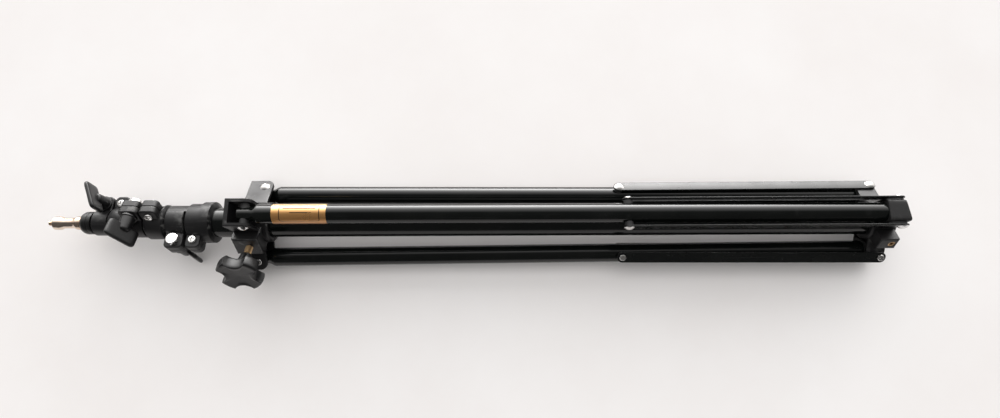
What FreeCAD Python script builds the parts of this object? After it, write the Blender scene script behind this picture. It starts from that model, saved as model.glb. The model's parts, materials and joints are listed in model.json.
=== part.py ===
import FreeCAD, Part
import math
import os

from FreeCAD import Vector

# A telescopic tripod stand for a lamp, folded flat and lying on its side. Sizes are in millimetres.
#
# Work frame: the X axis is the column's own axis, from the tip of the stud to the feet, and +Z is up.
# An angle around the column starts at +Z and grows towards -Y. Pieces that sit around the column are
# drawn at angle 0 and swung into place. At angle 0 the "head side" of a cross bolt is -Y.
# place_in_row_frame() moves the finished stand so that it rests on Z = 0 with its box centred on the origin.

# ---- tubes ----
column_d = 35.0
column_wall = 1.5
lower_riser_d = 30.0
middle_riser_d = 25.0
top_riser_d = 20.0
riser_wall = 1.25
riser_end_step = 12.0      # each riser ends this much before the one around it
bush_len = 24.0

# ---- stud and end cap ----
thread_d = 6.35
thread_len = 7.0
stud_d = 15.9
stud_ring_len = 7.2
stud_bevel = 0.8
stud_waist_d = 12.6
stud_waist_len = 12.6
stud_taper_len = 3.4
stud_base_len = 7.8
stud_socket = 3.6          # how far the stud's base sits in the cap
cap_d = 26.8
cap_len = 13.6
cap_floor = 2.4            # between the stud's socket and the tube
cap_screw_d = 6.0
cap_screw_head_d = 10.0
cap_screw_head = 4.0
cap_screw_grip = 11.0      # how far the screw reaches into the stud
cap_round = 4.0
cap_clearance = 2.0        # between the cap and the first clamp

# ---- riser clamps ----
stack_gap = 0.5            # between stacked clamps when the risers are down
sleeve_wall = 1.2
grip_wall = 3.8
seat_wall = 4.6
seat_stop = 1.0
ear_thickness = 8.2
ear_gap = 1.2
ear_overhang = 9.5         # from the clamp bolt to the ear's outer edge
ear_bolt_offset = 8.0      # from the fixed tube's surface to the clamp bolt
ear_corner = 5.0
clamp_bolt_d = 8.0
clamp_bolt_af = 13.0
clamp_bolt_head = 5.3
clamp_bolt_crown = 1.1     # height of the bevel on the hexagon's corners
clamp_bolt_corner_r = 7.6
clamp_screw_d = 5.0
clamp_screw_head_d = 9.4
clamp_screw_head = 2.8
clamp_nut_af = 8.0
clamp_nut_height = 4.0
clamp_nut_thread = 0.8     # of the screw, beyond its nut
clamp_bevel = 1.2
clamp_skirt_edge = 1.0     # wall left at the skirt's thin end
slot_depth_share = 0.3     # how far the slot goes past the axis, of the grip's radius
bolt_hole_gap = 0.2

# Each clamp: the tube it grips, the tube it sits on, lengths along the column, how far the lip at the
# seat's end stands out and its share of the skirt, the angle of its ears, the turn of its knob's wing,
# and the side that its fixed screw's head is on (-1 is the head side).
clamps = {
    "top_clamp": {"grip": top_riser_d, "seat": middle_riser_d, "grip_len": 18.0, "slot": 2.5,
                  "seat_len": 16.0, "skirt_len": 3.0, "lip": 1.2, "lip_share": 0.35,
                  "ears_at": -98.0, "wing_turn": -65.0, "screw_side": -1},
    "middle_clamp": {"grip": middle_riser_d, "seat": lower_riser_d, "grip_len": 21.0, "slot": 2.5,
                     "seat_len": 19.0, "skirt_len": 5.0, "lip": 1.2, "lip_share": 0.35,
                     "ears_at": -25.0, "wing_turn": -60.0, "screw_side": -1},
    "column_clamp": {"grip": lower_riser_d, "seat": column_d, "grip_len": 21.0, "slot": 3.5,
                     "seat_len": 16.5, "skirt_len": 13.0, "lip": 2.0, "lip_share": 0.85,
                     "ears_at": 78.0, "wing_turn": 33.0, "screw_side": 1},
}

# ---- T knobs ----
knob_flange_d = 18.0
knob_flange = 2.6
knob_hub_root_d = 15.9
knob_hub_d = 12.3
knob_hub_len = 20.0
wing_len = 36.0
wing_setback = 11.4        # from the knob's inner face
wing_height = 21.5
wing_thickness = 5.4
wing_corner = 2.5
insert_d = 11.0
insert_len = 14.0
insert_floor = 1.0
bolt_end_gap = 0.5         # between the bolt's end and the insert's floor
spot_face_margin = 1.0     # the flat cut round a knob or bolt head, beyond its own radius

# ---- spider that carries the leg tops ----
spider_rest_gap = 30.0     # from the column clamp to the spider when folded
spider_len = 36.0
spider_wall = 4.6
liner_wall = 1.4
fork_len = 28.2
fork_gap = 24.0
fork_wall = 4.0
fork_web = 4.5
fork_overhang = 10.5       # from the leg pivot to the fork's outer edge
fork_corner = 8.4
leg_standoff = 26.5        # from the column's surface to the leg pivots
pivot_inset = 18.8         # from the spider's upper end to the leg pivots

# ---- lock screw and star knob, between legs B and C ----
lock_at = 60.0
lock_screw_d = 8.0
boss_width = 26.0
boss_len = 30.0
lock_inset = 17.6          # from the spider's upper end to the lock screw
boss_reach = 21.0          # from the column's surface
pad_d = 10.0
pad_thickness = 2.6
star_d = 51.0
star_thickness = 14.0
star_standoff = 49.5       # from the column's surface to the knob's inner face
star_cut_d = 26.0
star_hub_d = 12.5
star_hub_len = 19.0
star_hub_root_d = 19.0
star_bite = 9.0            # how deep the four cuts between the lobes go
star_dish = 2.0            # hollow in the outer face
star_dish_r = 50.0
star_thread = 8.0          # of the lock screw, inside the knob's head

# ---- legs and braces ----
leg_angles = {"a": -120.0, "b": 0.0, "c": 120.0}
leg_d = 22.0
leg_wall = 1.2
neck_d = 15.0
neck_len = 14.0
neck_behind_pivot = 6.5
neck_taper = 10.0
pivot_to_brace = 429.0
leg_below_brace = 306.0
leg_lean = 0.47            # the folded legs lean in by this many degrees
bush_d = 10.0
foot_width = 24.4
foot_len = 24.7
foot_over_tube = 19.5
foot_slant = 3.7
brace_len = 303.5
brace_width = 13.0
brace_thickness = 2.0
brace_pivot_standoff = 24.5  # from the column's surface to the braces' lower pivots

# ---- cross bolts ----
cross_bolt_d = 6.0
dome_d = 12.0
dome_height = 2.8
end_screw_d = 7.6
end_screw_height = 1.8
recess_width = 0.9
recess_depth = 1.1
recess_share = 0.62        # length of the recess, of the head's diameter

# ---- lower collar ----
collar_above_pivot = 19.0
collar_below_pivot = 9.0
collar_wall = 6.0
lug_len = 22.0
lug_wall = 2.0
lug_overhang = 5.0
lug_corner = 5.2
collar_boss_width = 16.0
collar_boss_inset = 3.5    # from each end of the collar
collar_boss_reach = 21.0   # from the column's surface
collar_boss_edge = 1.6
collar_screw_from_end = 9.9
collar_screw_d = 8.0
collar_screw_inset = 0.6   # below the boss's face
collar_socket_af = 4.0
collar_socket_depth = 3.5
collar_lip = 2.0           # the collar's floor under the column tube
plug_wall = 2.0
plug_len = 14.0
riser_foot_gap = 4.0       # between the plug and the lower riser

# ---- label ----
label_len = 60.0
label_from_pivot = 33.0
label_thickness = 0.25
label_span = 210.0         # degrees around the leg

# ---- clearances ----
running_gap = 0.08         # a pin or tube that turns or slides in its own hole
side_gap = 0.3             # flat faces that move past each other
foot_gap = 0.3             # between a folded foot and the lugs beside it
screw_tip_gap = 0.3

# ---- places along and around the column ----
column_r = column_d / 2
column_bore_r = column_r - column_wall
root_r = column_r * 0.8    # where plates that stand on a ring begin, inside it
leg_r = leg_d / 2
stud_len = thread_len + stud_ring_len + stud_waist_len + 2 * stud_taper_len + stud_base_len
cap_end = stud_len + cap_len
top_riser_top = stud_len + stud_socket + cap_floor
stack_start = cap_end + cap_clearance

clamp_start = {}
station = stack_start
for clamp_name, clamp in clamps.items():
    clamp_start[clamp_name] = station
    station += clamp["grip_len"] + clamp["slot"] + clamp["seat_len"] + clamp["skirt_len"] + stack_gap
stack_end = station - stack_gap


def tube_top(clamp_name):
    # Where the tube that a clamp sits on begins.
    clamp = clamps[clamp_name]
    return clamp_start[clamp_name] + clamp["grip_len"] + clamp["slot"] + seat_stop


spider_start = stack_end + spider_rest_gap
pivot_x = spider_start + pivot_inset
pivot_r = column_r + leg_standoff
lean = math.radians(leg_lean)
brace_top_x = pivot_x + pivot_to_brace * math.cos(lean)
brace_top_r = pivot_r - pivot_to_brace * math.sin(lean)
brace_foot_r = column_r + brace_pivot_standoff
brace_foot_x = brace_top_x + math.sqrt(brace_len ** 2 - (brace_foot_r - brace_top_r) ** 2)
brace_tilt = math.degrees(math.asin((brace_top_r - brace_foot_r) / brace_len))
leg_end = pivot_x + pivot_to_brace + leg_below_brace
collar_start = brace_foot_x - collar_above_pivot
collar_end = brace_foot_x + collar_below_pivot
column_end = collar_end - collar_lip
collar_screw_x = collar_end - collar_screw_from_end
lug_inner = foot_width / 2 + foot_gap
lug_outer = lug_inner + lug_wall
brace_inner = lug_outer + side_gap
brace_outer = brace_inner + brace_thickness
fork_outer = fork_gap / 2 + fork_wall
ear_half = ear_thickness + ear_gap / 2
knob_base = ear_half + side_gap
hub_r = column_r + liner_wall + spider_wall
star_inner = column_r + star_standoff
boss_top = column_r + boss_reach
lock_x = spider_start + lock_inset
pad_top = column_r + side_gap + pad_thickness


# ---- plain shapes ----
def rod(radius, x0, x1, y=0.0, z=0.0):
    return Part.makeCylinder(radius, x1 - x0, Vector(x0, y, z), Vector(1, 0, 0))


def tube(outer_r, inner_r, x0, x1):
    return rod(outer_r, x0, x1).cut(rod(inner_r, x0, x1))


def cross_rod(radius, y0, y1, x, z):
    return Part.makeCylinder(radius, y1 - y0, Vector(x, y0, z), Vector(0, 1, 0))


def upright(radius, z0, z1, x=0.0, y=0.0):
    return Part.makeCylinder(radius, z1 - z0, Vector(x, y, z0), Vector(0, 0, 1))


def block(x0, x1, y0, y1, z0, z1):
    return Part.makeBox(x1 - x0, y1 - y0, z1 - z0, Vector(x0, y0, z0))


def turned(profile):
    # A solid turned about X from (station, radius) points, closed back to its first point.
    points = [Vector(x, 0, r) for x, r in profile]
    face = Part.Face(Part.makePolygon(points + [points[0]]))
    return face.revolve(Vector(0, 0, 0), Vector(1, 0, 0), 360)


def prism(outline, direction):
    return Part.Face(Part.makePolygon(outline + [outline[0]])).extrude(direction)


def hexagon(across_flats, height):
    corner = across_flats / math.sqrt(3)
    points = []
    for i in range(6):
        turn = math.radians(60 * i)
        points.append(Vector(corner * math.cos(turn), corner * math.sin(turn), 0))
    return prism(points, Vector(0, 0, height))


def soften(shape, radius, wanted):
    return shape.makeFillet(radius, [edge for edge in shape.Edges if wanted(edge)])


def runs_along(edge, axis):
    # True for a straight edge parallel to a unit vector.
    if not isinstance(edge.Curve, Part.Line):
        return False
    return abs(abs(edge.tangentAt(edge.FirstParameter).dot(axis)) - 1) < 1e-6


def swing(shape, angle):
    turned_copy = shape.copy()
    turned_copy.rotate(Vector(0, 0, 0), Vector(1, 0, 0), angle)
    return turned_copy


def across(shape, x, r, side):
    # Moves a piece drawn along +Z onto a cross bolt's line: side -1 points to the head side.
    moved = shape.copy()
    moved.rotate(Vector(0, 0, 0), Vector(1, 0, 0), -90 * side)
    moved.translate(Vector(x, 0, r))
    return moved


def dome_head(base):
    # A shallow dome that stands on Z = base.
    sphere_r = ((dome_d / 2) ** 2 + dome_height ** 2) / (2 * dome_height)
    ball = Part.makeSphere(sphere_r, Vector(0, 0, base + dome_height - sphere_r))
    return ball.common(upright(dome_d / 2 + 1, base, base + dome_height + 1))


def recessed_head(diameter, height, base):
    # A low screw head with a cross recess, standing on Z = base.
    head = soften(upright(diameter / 2, base, base + height), height * 0.4,
                  lambda edge: edge.BoundBox.ZMin > base + height / 2)
    arm = diameter * recess_share / 2
    floor = base + height - recess_depth
    half = recess_width / 2
    for arm_x, arm_y in ((arm, half), (half, arm)):
        head = head.cut(block(-arm_x, arm_x, -arm_y, arm_y, floor, base + height + 1))
    return head


# ---- stud, cap and risers ----
def spigot():
    thread_r = thread_d / 2
    ring_r = stud_d / 2
    waist_r = stud_waist_d / 2
    ring_start = thread_len
    waist_start = ring_start + stud_ring_len + stud_taper_len
    waist_end = waist_start + stud_waist_len
    base_start = waist_end + stud_taper_len
    stud_end = stud_len + stud_socket
    profile = [
        (0, 0), (0, thread_r - stud_bevel), (stud_bevel, thread_r), (ring_start, thread_r),
        (ring_start, ring_r - stud_bevel), (ring_start + stud_bevel, ring_r),
        (ring_start + stud_ring_len, ring_r),
        (waist_start, waist_r), (waist_end, waist_r), (base_start, ring_r), (stud_end, ring_r), (stud_end, 0),
    ]
    screw_hole = rod(cap_screw_d / 2, stud_end - cap_screw_grip - 1, stud_end + 1)
    return turned(profile).cut(screw_hole)


def end_cap():
    cap_r = cap_d / 2
    body = soften(rod(cap_r, stud_len, cap_end), cap_round,
                  lambda edge: edge.BoundBox.XMax < stud_len + 0.1)
    body = soften(body, 1.0, lambda edge: edge.BoundBox.XMin > cap_end - 0.1)
    socket = rod(stud_d / 2, stud_len - 1, stud_len + stud_socket)
    screw_hole = rod(cap_screw_d / 2, stud_len, cap_end)
    tube_pocket = rod(top_riser_d / 2, top_riser_top, cap_end + 1)
    return body.cut(socket).cut(screw_hole).cut(tube_pocket)


def stud_screw():
    head_start = top_riser_top
    shank = rod(cap_screw_d / 2, stud_len + stud_socket - cap_screw_grip, head_start)
    head = rod(cap_screw_head_d / 2, head_start, head_start + cap_screw_head)
    return shank.fuse(head).removeSplitter()


def riser_bush(riser_d, around_d, around_wall, end):
    # A plastic ring on a riser's foot, which guides it in the tube around it.
    return tube(around_d / 2 - around_wall - running_gap, riser_d / 2, end - bush_len, end)


# ---- clamps ----
def clamp_bolt_r(clamp):
    return clamp["seat"] / 2 + ear_bolt_offset


def clamp_ear(clamp, x0, x1):
    reach = clamp_bolt_r(clamp) + ear_overhang
    ear = block(x0, x1, -ear_half, ear_half, 0, reach)
    ear = soften(ear, ear_corner, lambda edge: runs_along(edge, Vector(0, 1, 0)) and edge.BoundBox.ZMin > 1)
    return soften(ear, 1.4, lambda edge: edge.BoundBox.ZMin > 1 and edge.BoundBox.YLength < 0.1)


def clamp_body(name):
    clamp = clamps[name]
    grip_bore = clamp["grip"] / 2 + sleeve_wall
    grip_r = grip_bore + grip_wall
    seat_bore = clamp["seat"] / 2
    seat_r = seat_bore + seat_wall
    x0 = clamp_start[name]
    x1 = x0 + clamp["grip_len"]
    x2 = x1 + clamp["slot"]
    x3 = x2 + clamp["seat_len"]
    x4 = x3 + clamp["skirt_len"]
    lip_r = seat_r + clamp["lip"]
    lip_end = x3 + clamp["skirt_len"] * clamp["lip_share"]
    shell = turned([
        (x0, 0), (x0, grip_r - clamp_bevel), (x0 + clamp_bevel, grip_r), (x2, grip_r),
        (x2, seat_r - clamp_bevel), (x2 + clamp_bevel, seat_r), (x3, seat_r), (x3, lip_r), (lip_end, lip_r),
        (x4, seat_bore + clamp_skirt_edge), (x4, 0),
    ])
    body = shell.fuse([clamp_ear(clamp, x0, x1), clamp_ear(clamp, x2, x3)]).removeSplitter()
    far = seat_r + clamp["seat"] + ear_overhang
    slot_floor = -slot_depth_share * grip_r
    bolt_r = clamp_bolt_r(clamp)
    cuts = [
        rod(grip_bore, x0 - 1, x2 + seat_stop),
        rod(seat_bore, x2 + seat_stop, x4 + 1),
        block(x0 - 1, x3, -ear_gap / 2, ear_gap / 2, 0, far),
        block(x1, x2, -far, far, slot_floor, far),
        cross_rod(clamp_bolt_d / 2 + bolt_hole_gap, -far, far, (x0 + x1) / 2, bolt_r),
        cross_rod(clamp_screw_d / 2 + bolt_hole_gap, -far, far, (x2 + x3) / 2, bolt_r),
    ]
    spot_r = knob_flange_d / 2 + spot_face_margin
    for y0, y1 in ((ear_half, far), (-far, -ear_half)):
        cuts.append(cross_rod(spot_r, y0, y1, (x0 + x1) / 2, bolt_r))
    return body.cut(cuts)


def clamp_sleeve(name):
    # A split plastic sleeve between the clamp and the riser it grips.
    clamp = clamps[name]
    x0 = clamp_start[name]
    x1 = x0 + clamp["grip_len"]
    sleeve = tube(clamp["grip"] / 2 + sleeve_wall, clamp["grip"] / 2 + running_gap, x0, x1)
    return sleeve.cut(block(x0 - 1, x1 + 1, -ear_gap, ear_gap, 0, clamp["grip"]))


def clamp_bolt(name):
    # A hexagon bolt through the gripping ears: its threaded end carries the T knob.
    clamp = clamps[name]
    crown_start = clamp_bolt_head - clamp_bolt_crown
    cone = Part.makeCone(clamp_bolt_corner_r, clamp_bolt_corner_r - clamp_bolt_crown * 2, clamp_bolt_crown)
    cone.translate(Vector(0, 0, crown_start))
    head = hexagon(clamp_bolt_af, clamp_bolt_head)
    head = head.common(cone.fuse(upright(clamp_bolt_corner_r, 0, crown_start)))
    head.translate(Vector(0, 0, ear_half))
    shank_end = knob_base + insert_len - insert_floor - bolt_end_gap
    bolt = head.fuse(upright(clamp_bolt_d / 2, -shank_end, ear_half)).removeSplitter()
    x = clamp_start[name] + clamp["grip_len"] / 2
    return across(bolt, x, clamp_bolt_r(clamp), 1)


def clamp_screw(name):
    # The cross-recessed screw and nut that fix the clamp on its tube.
    clamp = clamps[name]
    nut_outer = ear_half + clamp_nut_height
    head = recessed_head(clamp_screw_head_d, clamp_screw_head, ear_half)
    shank = upright(clamp_screw_d / 2, -nut_outer - clamp_nut_thread, ear_half)
    nut = hexagon(clamp_nut_af, clamp_nut_height)
    nut.translate(Vector(0, 0, -nut_outer))
    screw = head.fuse([shank, nut]).removeSplitter()
    x = clamp_start[name] + clamp["grip_len"] + clamp["slot"] + clamp["seat_len"] / 2
    return across(screw, x, clamp_bolt_r(clamp), clamp["screw_side"])


def rounded_wing():
    half = wing_len / 2
    start = knob_base + wing_setback
    wing = block(-half, half, -wing_thickness / 2, wing_thickness / 2, start, start + wing_height)
    wing = soften(wing, wing_corner, lambda edge: runs_along(edge, Vector(0, 1, 0)))
    return soften(wing, 1.5, lambda edge: edge.BoundBox.YLength < 0.01)


def on_clamp(shape, name):
    # Takes a knob drawn along +Z at the origin to its clamp's bolt.
    clamp = clamps[name]
    turned_copy = shape.copy()
    turned_copy.rotate(Vector(0, 0, 0), Vector(0, 0, 1), clamp["wing_turn"])
    x = clamp_start[name] + clamp["grip_len"] / 2
    return across(turned_copy, x, clamp_bolt_r(clamp), -1)


def t_knob(name):
    flange = upright(knob_flange_d / 2, knob_base, knob_base + knob_flange)
    flange = soften(flange, 0.8, lambda edge: edge.BoundBox.ZLength < 0.01)
    hub = Part.makeCone(knob_hub_root_d / 2, knob_hub_d / 2, knob_hub_len - 1, Vector(0, 0, knob_base + 1))
    hub = soften(hub, 2.5, lambda edge: edge.BoundBox.ZMin > knob_base + knob_hub_len / 2)
    knob = flange.fuse([hub, rounded_wing()]).removeSplitter()
    return on_clamp(knob.cut(upright(insert_d / 2, knob_base - 1, knob_base + insert_len)), name)


def t_knob_insert(name):
    insert = upright(insert_d / 2, knob_base, knob_base + insert_len)
    bore = upright(clamp_bolt_d / 2 + running_gap, knob_base, knob_base + insert_len - insert_floor)
    return on_clamp(insert.cut(bore), name)


# ---- spider ----
def fork():
    # Two ears joined by a web at the upper end, drawn for the leg at angle 0.
    x0 = spider_start
    x1 = x0 + fork_len
    top = pivot_r + fork_overhang
    shell = block(x0, x1, -fork_outer, fork_outer, root_r, top)
    shell = soften(shell, fork_corner,
                   lambda edge: runs_along(edge, Vector(0, 1, 0)) and edge.BoundBox.ZMin > column_r and
                   edge.BoundBox.XMin > x1 - 1)
    shell = soften(shell, 1.2, lambda edge: edge.BoundBox.ZMin > column_r and edge.BoundBox.YLength < 0.01)
    gap = block(x0 + fork_web, x1 + 1, -fork_gap / 2, fork_gap / 2, hub_r - 1.0, top + 1)
    return shell.cut(gap)


def spider_collar():
    x0 = spider_start
    bevel = 1.6
    hub = turned([(x0, 0), (x0, hub_r - bevel), (x0 + bevel, hub_r), (x0 + spider_len - bevel, hub_r),
                  (x0 + spider_len, hub_r - bevel), (x0 + spider_len, 0)])
    forks = [swing(fork(), angle) for angle in leg_angles.values()]
    boss = block(x0, x0 + boss_len, -boss_width / 2, boss_width / 2, 0, boss_top)
    boss = soften(boss, 2.5, lambda edge: edge.BoundBox.ZMin > 1)
    body = hub.fuse(forks + [swing(boss, lock_at)]).removeSplitter()
    cuts = [rod(column_r + liner_wall, x0 - 1, x0 + spider_len + 1)]
    far = pivot_r + fork_outer
    for angle in leg_angles.values():
        cuts.append(swing(cross_rod(cross_bolt_d / 2, -far, far, pivot_x, pivot_r), angle))
    cuts.append(swing(upright(lock_screw_d / 2 + running_gap, column_r, boss_top + 1, lock_x), lock_at))
    cuts.append(swing(upright(pad_d / 2, column_r, pad_top, lock_x), lock_at))
    return body.cut(cuts)


def spider_liner():
    x0 = spider_start + 1
    liner = tube(column_r + liner_wall, column_r + running_gap, x0, x0 + spider_len - 2)
    return liner.cut(swing(upright(pad_d / 2, column_r - 2, column_r + 4, lock_x), lock_at))


def pressure_pad():
    pad = upright(pad_d / 2, column_r - 2, pad_top, lock_x)
    return swing(pad.cut(rod(column_r + side_gap, lock_x - pad_d, lock_x + pad_d)), lock_at)


def lock_screw():
    tip = pad_top + screw_tip_gap
    end = star_inner + star_thread
    screw = upright(lock_screw_d / 2, tip, end, lock_x)
    screw = soften(screw, 0.7, lambda edge: edge.BoundBox.ZMax < tip + 0.1)
    return swing(screw, lock_at)


def star_knob():
    half = star_d / 2
    z0 = star_inner
    z1 = z0 + star_thickness
    head = upright(half, z0, z1)
    cut_distance = half + star_cut_d / 2 - star_bite
    for i in range(4):
        turn = math.radians(90 * i)
        head = head.cut(upright(star_cut_d / 2, z0 - 1, z1 + 1, cut_distance * math.cos(turn),
                                cut_distance * math.sin(turn)))
    head = soften(head, 2.6, lambda edge: runs_along(edge, Vector(0, 0, 1)))
    head = soften(head, 2.0, lambda edge: edge.BoundBox.ZLength < 0.01)
    dish = Part.makeSphere(star_dish_r, Vector(0, 0, z1 + star_dish_r - star_dish))
    hub_start = z0 + 1 - star_hub_len
    hub = Part.makeCone(star_hub_d / 2, star_hub_root_d / 2, star_hub_len, Vector(0, 0, hub_start))
    knob = head.cut(dish).fuse(hub).removeSplitter()
    knob = knob.cut(upright(lock_screw_d / 2, z0 - star_hub_len - 1, z0 + star_thread))
    knob.translate(Vector(lock_x, 0, 0))
    return swing(knob, lock_at)


# ---- legs, drawn at angle 0 ----
def lean_in(shape):
    leaning = shape.copy()
    leaning.rotate(Vector(pivot_x, 0, pivot_r), Vector(0, 1, 0), leg_lean)
    return leaning


def leg_tube():
    neck_r = neck_d / 2
    x0 = pivot_x - neck_behind_pivot
    x1 = x0 + neck_len
    x2 = x1 + neck_taper
    profile = [(x0, neck_r), (x1, neck_r), (x2, leg_r), (leg_end, leg_r), (leg_end, leg_r - leg_wall),
               (x2, leg_r - leg_wall), (x1, neck_r - leg_wall), (x0, neck_r - leg_wall)]
    body = turned(profile)
    body.translate(Vector(0, 0, pivot_r))
    holes = [cross_rod(bush_d / 2, -leg_d, leg_d, pivot_x, pivot_r),
             cross_rod(bush_d / 2, -leg_d, leg_d, pivot_x + pivot_to_brace, pivot_r)]
    return lean_in(body.cut(holes))


def leg_pivot_bush():
    half = fork_gap / 2 - side_gap
    outer = cross_rod(bush_d / 2, -half, half, pivot_x, pivot_r)
    return lean_in(outer.cut(cross_rod(cross_bolt_d / 2 + running_gap, -half, half, pivot_x, pivot_r)))


def brace_spacer():
    # The sleeve through the leg that keeps the two braces apart.
    x = pivot_x + pivot_to_brace
    outer = cross_rod(bush_d / 2, -lug_outer, lug_outer, x, pivot_r)
    return lean_in(outer.cut(cross_rod(cross_bolt_d / 2, -lug_outer, lug_outer, x, pivot_r)))


def foot():
    x0 = leg_end - foot_over_tube
    x1 = x0 + foot_len
    half = foot_width / 2
    outline = [Vector(x0, -half, pivot_r - half), Vector(x1, -half, pivot_r - half),
               Vector(x1 - foot_slant, half, pivot_r - half), Vector(x0, half, pivot_r - half)]
    body = prism(outline, Vector(0, 0, foot_width))
    body = soften(body, 3.0, lambda edge: runs_along(edge, Vector(1, 0, 0)))
    body = soften(body, 1.2, lambda edge: edge.BoundBox.XLength < foot_slant + 0.5)
    return lean_in(body.cut(rod(leg_r, x0 - 1, leg_end, 0, pivot_r)))


def label_plate():
    # A thin foil wrapped round the upper side of a leg.
    x0 = pivot_x + label_from_pivot
    x1 = x0 + label_len
    foil = tube(leg_r + label_thickness, leg_r, x0, x1)
    edge_z = leg_r * math.cos(math.radians(label_span / 2))
    foil = foil.cut(block(x0 - 1, x1 + 1, -leg_d, leg_d, -leg_d, edge_z))
    foil.translate(Vector(0, 0, pivot_r))
    return lean_in(foil)


# ---- braces, drawn at angle 0 ----
def tilt_brace(shape):
    tilted = shape.copy()
    tilted.rotate(Vector(brace_foot_x, 0, brace_foot_r), Vector(0, 1, 0), brace_tilt)
    return tilted


def brace(side):
    # A flat bar with round ends. side -1 is the head side.
    y0, y1 = sorted((side * brace_inner, side * brace_outer))
    half = brace_width / 2
    top_x = brace_foot_x - brace_len
    bar = block(top_x, brace_foot_x, y0, y1, brace_foot_r - half, brace_foot_r + half)
    ends = [cross_rod(half, y0, y1, x, brace_foot_r) for x in (top_x, brace_foot_x)]
    bar = bar.fuse(ends).removeSplitter()
    bar = bar.cut(cross_rod(cross_bolt_d / 2, y0, y1, top_x, brace_foot_r))
    bar = bar.cut(cross_rod(cross_bolt_d / 2 + running_gap, y0, y1, brace_foot_x, brace_foot_r))
    return tilt_brace(bar)


def bolt_ends(x, r, shank_from, shank_to):
    # A domed head on the head side and a small recessed screw on the other, each on a short shank.
    shank = upright(cross_bolt_d / 2, shank_from, shank_to)
    head = shank.fuse(dome_head(shank_to)).removeSplitter()
    screw = shank.fuse(recessed_head(end_screw_d, end_screw_height, shank_to)).removeSplitter()
    return [across(head, x, r, -1), across(screw, x, r, 1)]


def brace_bolt():
    top_x = brace_foot_x - brace_len
    return tilt_brace(Part.makeCompound(bolt_ends(top_x, brace_foot_r, brace_inner, brace_outer)))


def leg_pivot_bolt():
    # A through bolt in the fork.
    shank = cross_rod(cross_bolt_d / 2, -fork_outer, fork_outer, pivot_x, pivot_r)
    head, screw = bolt_ends(pivot_x, pivot_r, fork_gap / 2, fork_outer)
    return shank.fuse([head, screw]).removeSplitter()


def collar_pivot_pins():
    return Part.makeCompound(bolt_ends(brace_foot_x, brace_foot_r, lug_inner, brace_outer + side_gap))


# ---- lower collar ----
def collar_lugs():
    # Two plates that stand on the collar either side of a folded foot.
    x1 = brace_foot_x + lug_overhang
    x0 = x1 - lug_len
    top = brace_foot_r + lug_overhang
    plates = []
    for side in (-1, 1):
        y0, y1 = sorted((side * lug_inner, side * lug_outer))
        plate = block(x0, x1, y0, y1, root_r, top)
        plate = soften(plate, lug_corner,
                       lambda edge: runs_along(edge, Vector(0, 1, 0)) and edge.BoundBox.ZMin > root_r)
        plates.append(plate)
    return plates


def lower_collar():
    ring_r = column_r + collar_wall
    bevel = 1.6
    body = turned([(collar_start, 0), (collar_start, ring_r - bevel), (collar_start + bevel, ring_r),
                   (collar_end - bevel, ring_r), (collar_end, ring_r - bevel), (collar_end, 0)])
    additions = []
    for angle in leg_angles.values():
        additions += [swing(plate, angle) for plate in collar_lugs()]
    boss = block(collar_start + collar_boss_inset, collar_end - collar_boss_inset,
                 -collar_boss_width / 2, collar_boss_width / 2, 0, column_r + collar_boss_reach)
    boss = soften(boss, collar_boss_edge, lambda edge: edge.BoundBox.ZMin > column_r)
    additions.append(swing(boss, lock_at))
    body = body.fuse(additions).removeSplitter()
    cuts = [rod(column_r, collar_start - 1, column_end),
            rod(column_bore_r - plug_wall, column_end - 1, collar_end + 1)]
    far = brace_foot_r + lug_outer
    for angle in leg_angles.values():
        for side in (-1, 1):
            y0, y1 = sorted((side * (lug_inner - 1), side * far))
            cuts.append(swing(cross_rod(cross_bolt_d / 2, y0, y1, brace_foot_x, brace_foot_r), angle))
    cuts.append(swing(upright(collar_screw_d / 2, column_r - 1, far, collar_screw_x), lock_at))
    return body.cut(cuts)


def collar_screw():
    # A socket set screw that holds the collar on the column.
    top = column_r + collar_boss_reach - collar_screw_inset
    screw = upright(collar_screw_d / 2, column_r + screw_tip_gap, top, collar_screw_x)
    socket = hexagon(collar_socket_af, collar_socket_depth)
    socket.translate(Vector(collar_screw_x, 0, top - collar_socket_depth))
    return swing(screw.cut(socket), lock_at)


def column_plug():
    # A plastic plug in the column's foot.
    return tube(column_bore_r, column_bore_r - plug_wall, column_end - plug_len, column_end)


# ---- the whole stand ----
def make_clamps(nodes):
    for name in clamps:
        parts = {
            name + "_body": clamp_body(name),
            name + "_sleeve": clamp_sleeve(name),
            name + "_hex_bolt": clamp_bolt(name),
            name + "_fixed_screw": clamp_screw(name),
            name + "_t_knob": t_knob(name),
            name + "_knob_insert": t_knob_insert(name),
        }
        for node, shape in parts.items():
            nodes[node] = swing(shape, clamps[name]["ears_at"])


def make_risers(nodes):
    around_d = column_d
    around_wall = column_wall
    end = column_end - plug_len - riser_foot_gap + riser_end_step
    tops = {"lower_riser": tube_top("middle_clamp"), "middle_riser": tube_top("top_clamp"),
            "top_riser": top_riser_top}
    sizes = {"lower_riser": lower_riser_d, "middle_riser": middle_riser_d, "top_riser": top_riser_d}
    for name, riser_d in sizes.items():
        end -= riser_end_step
        nodes[name + "_tube"] = tube(riser_d / 2, riser_d / 2 - riser_wall, tops[name], end)
        nodes[name + "_guide_bush"] = riser_bush(riser_d, around_d, around_wall, end)
        around_d = riser_d
        around_wall = riser_wall


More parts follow.
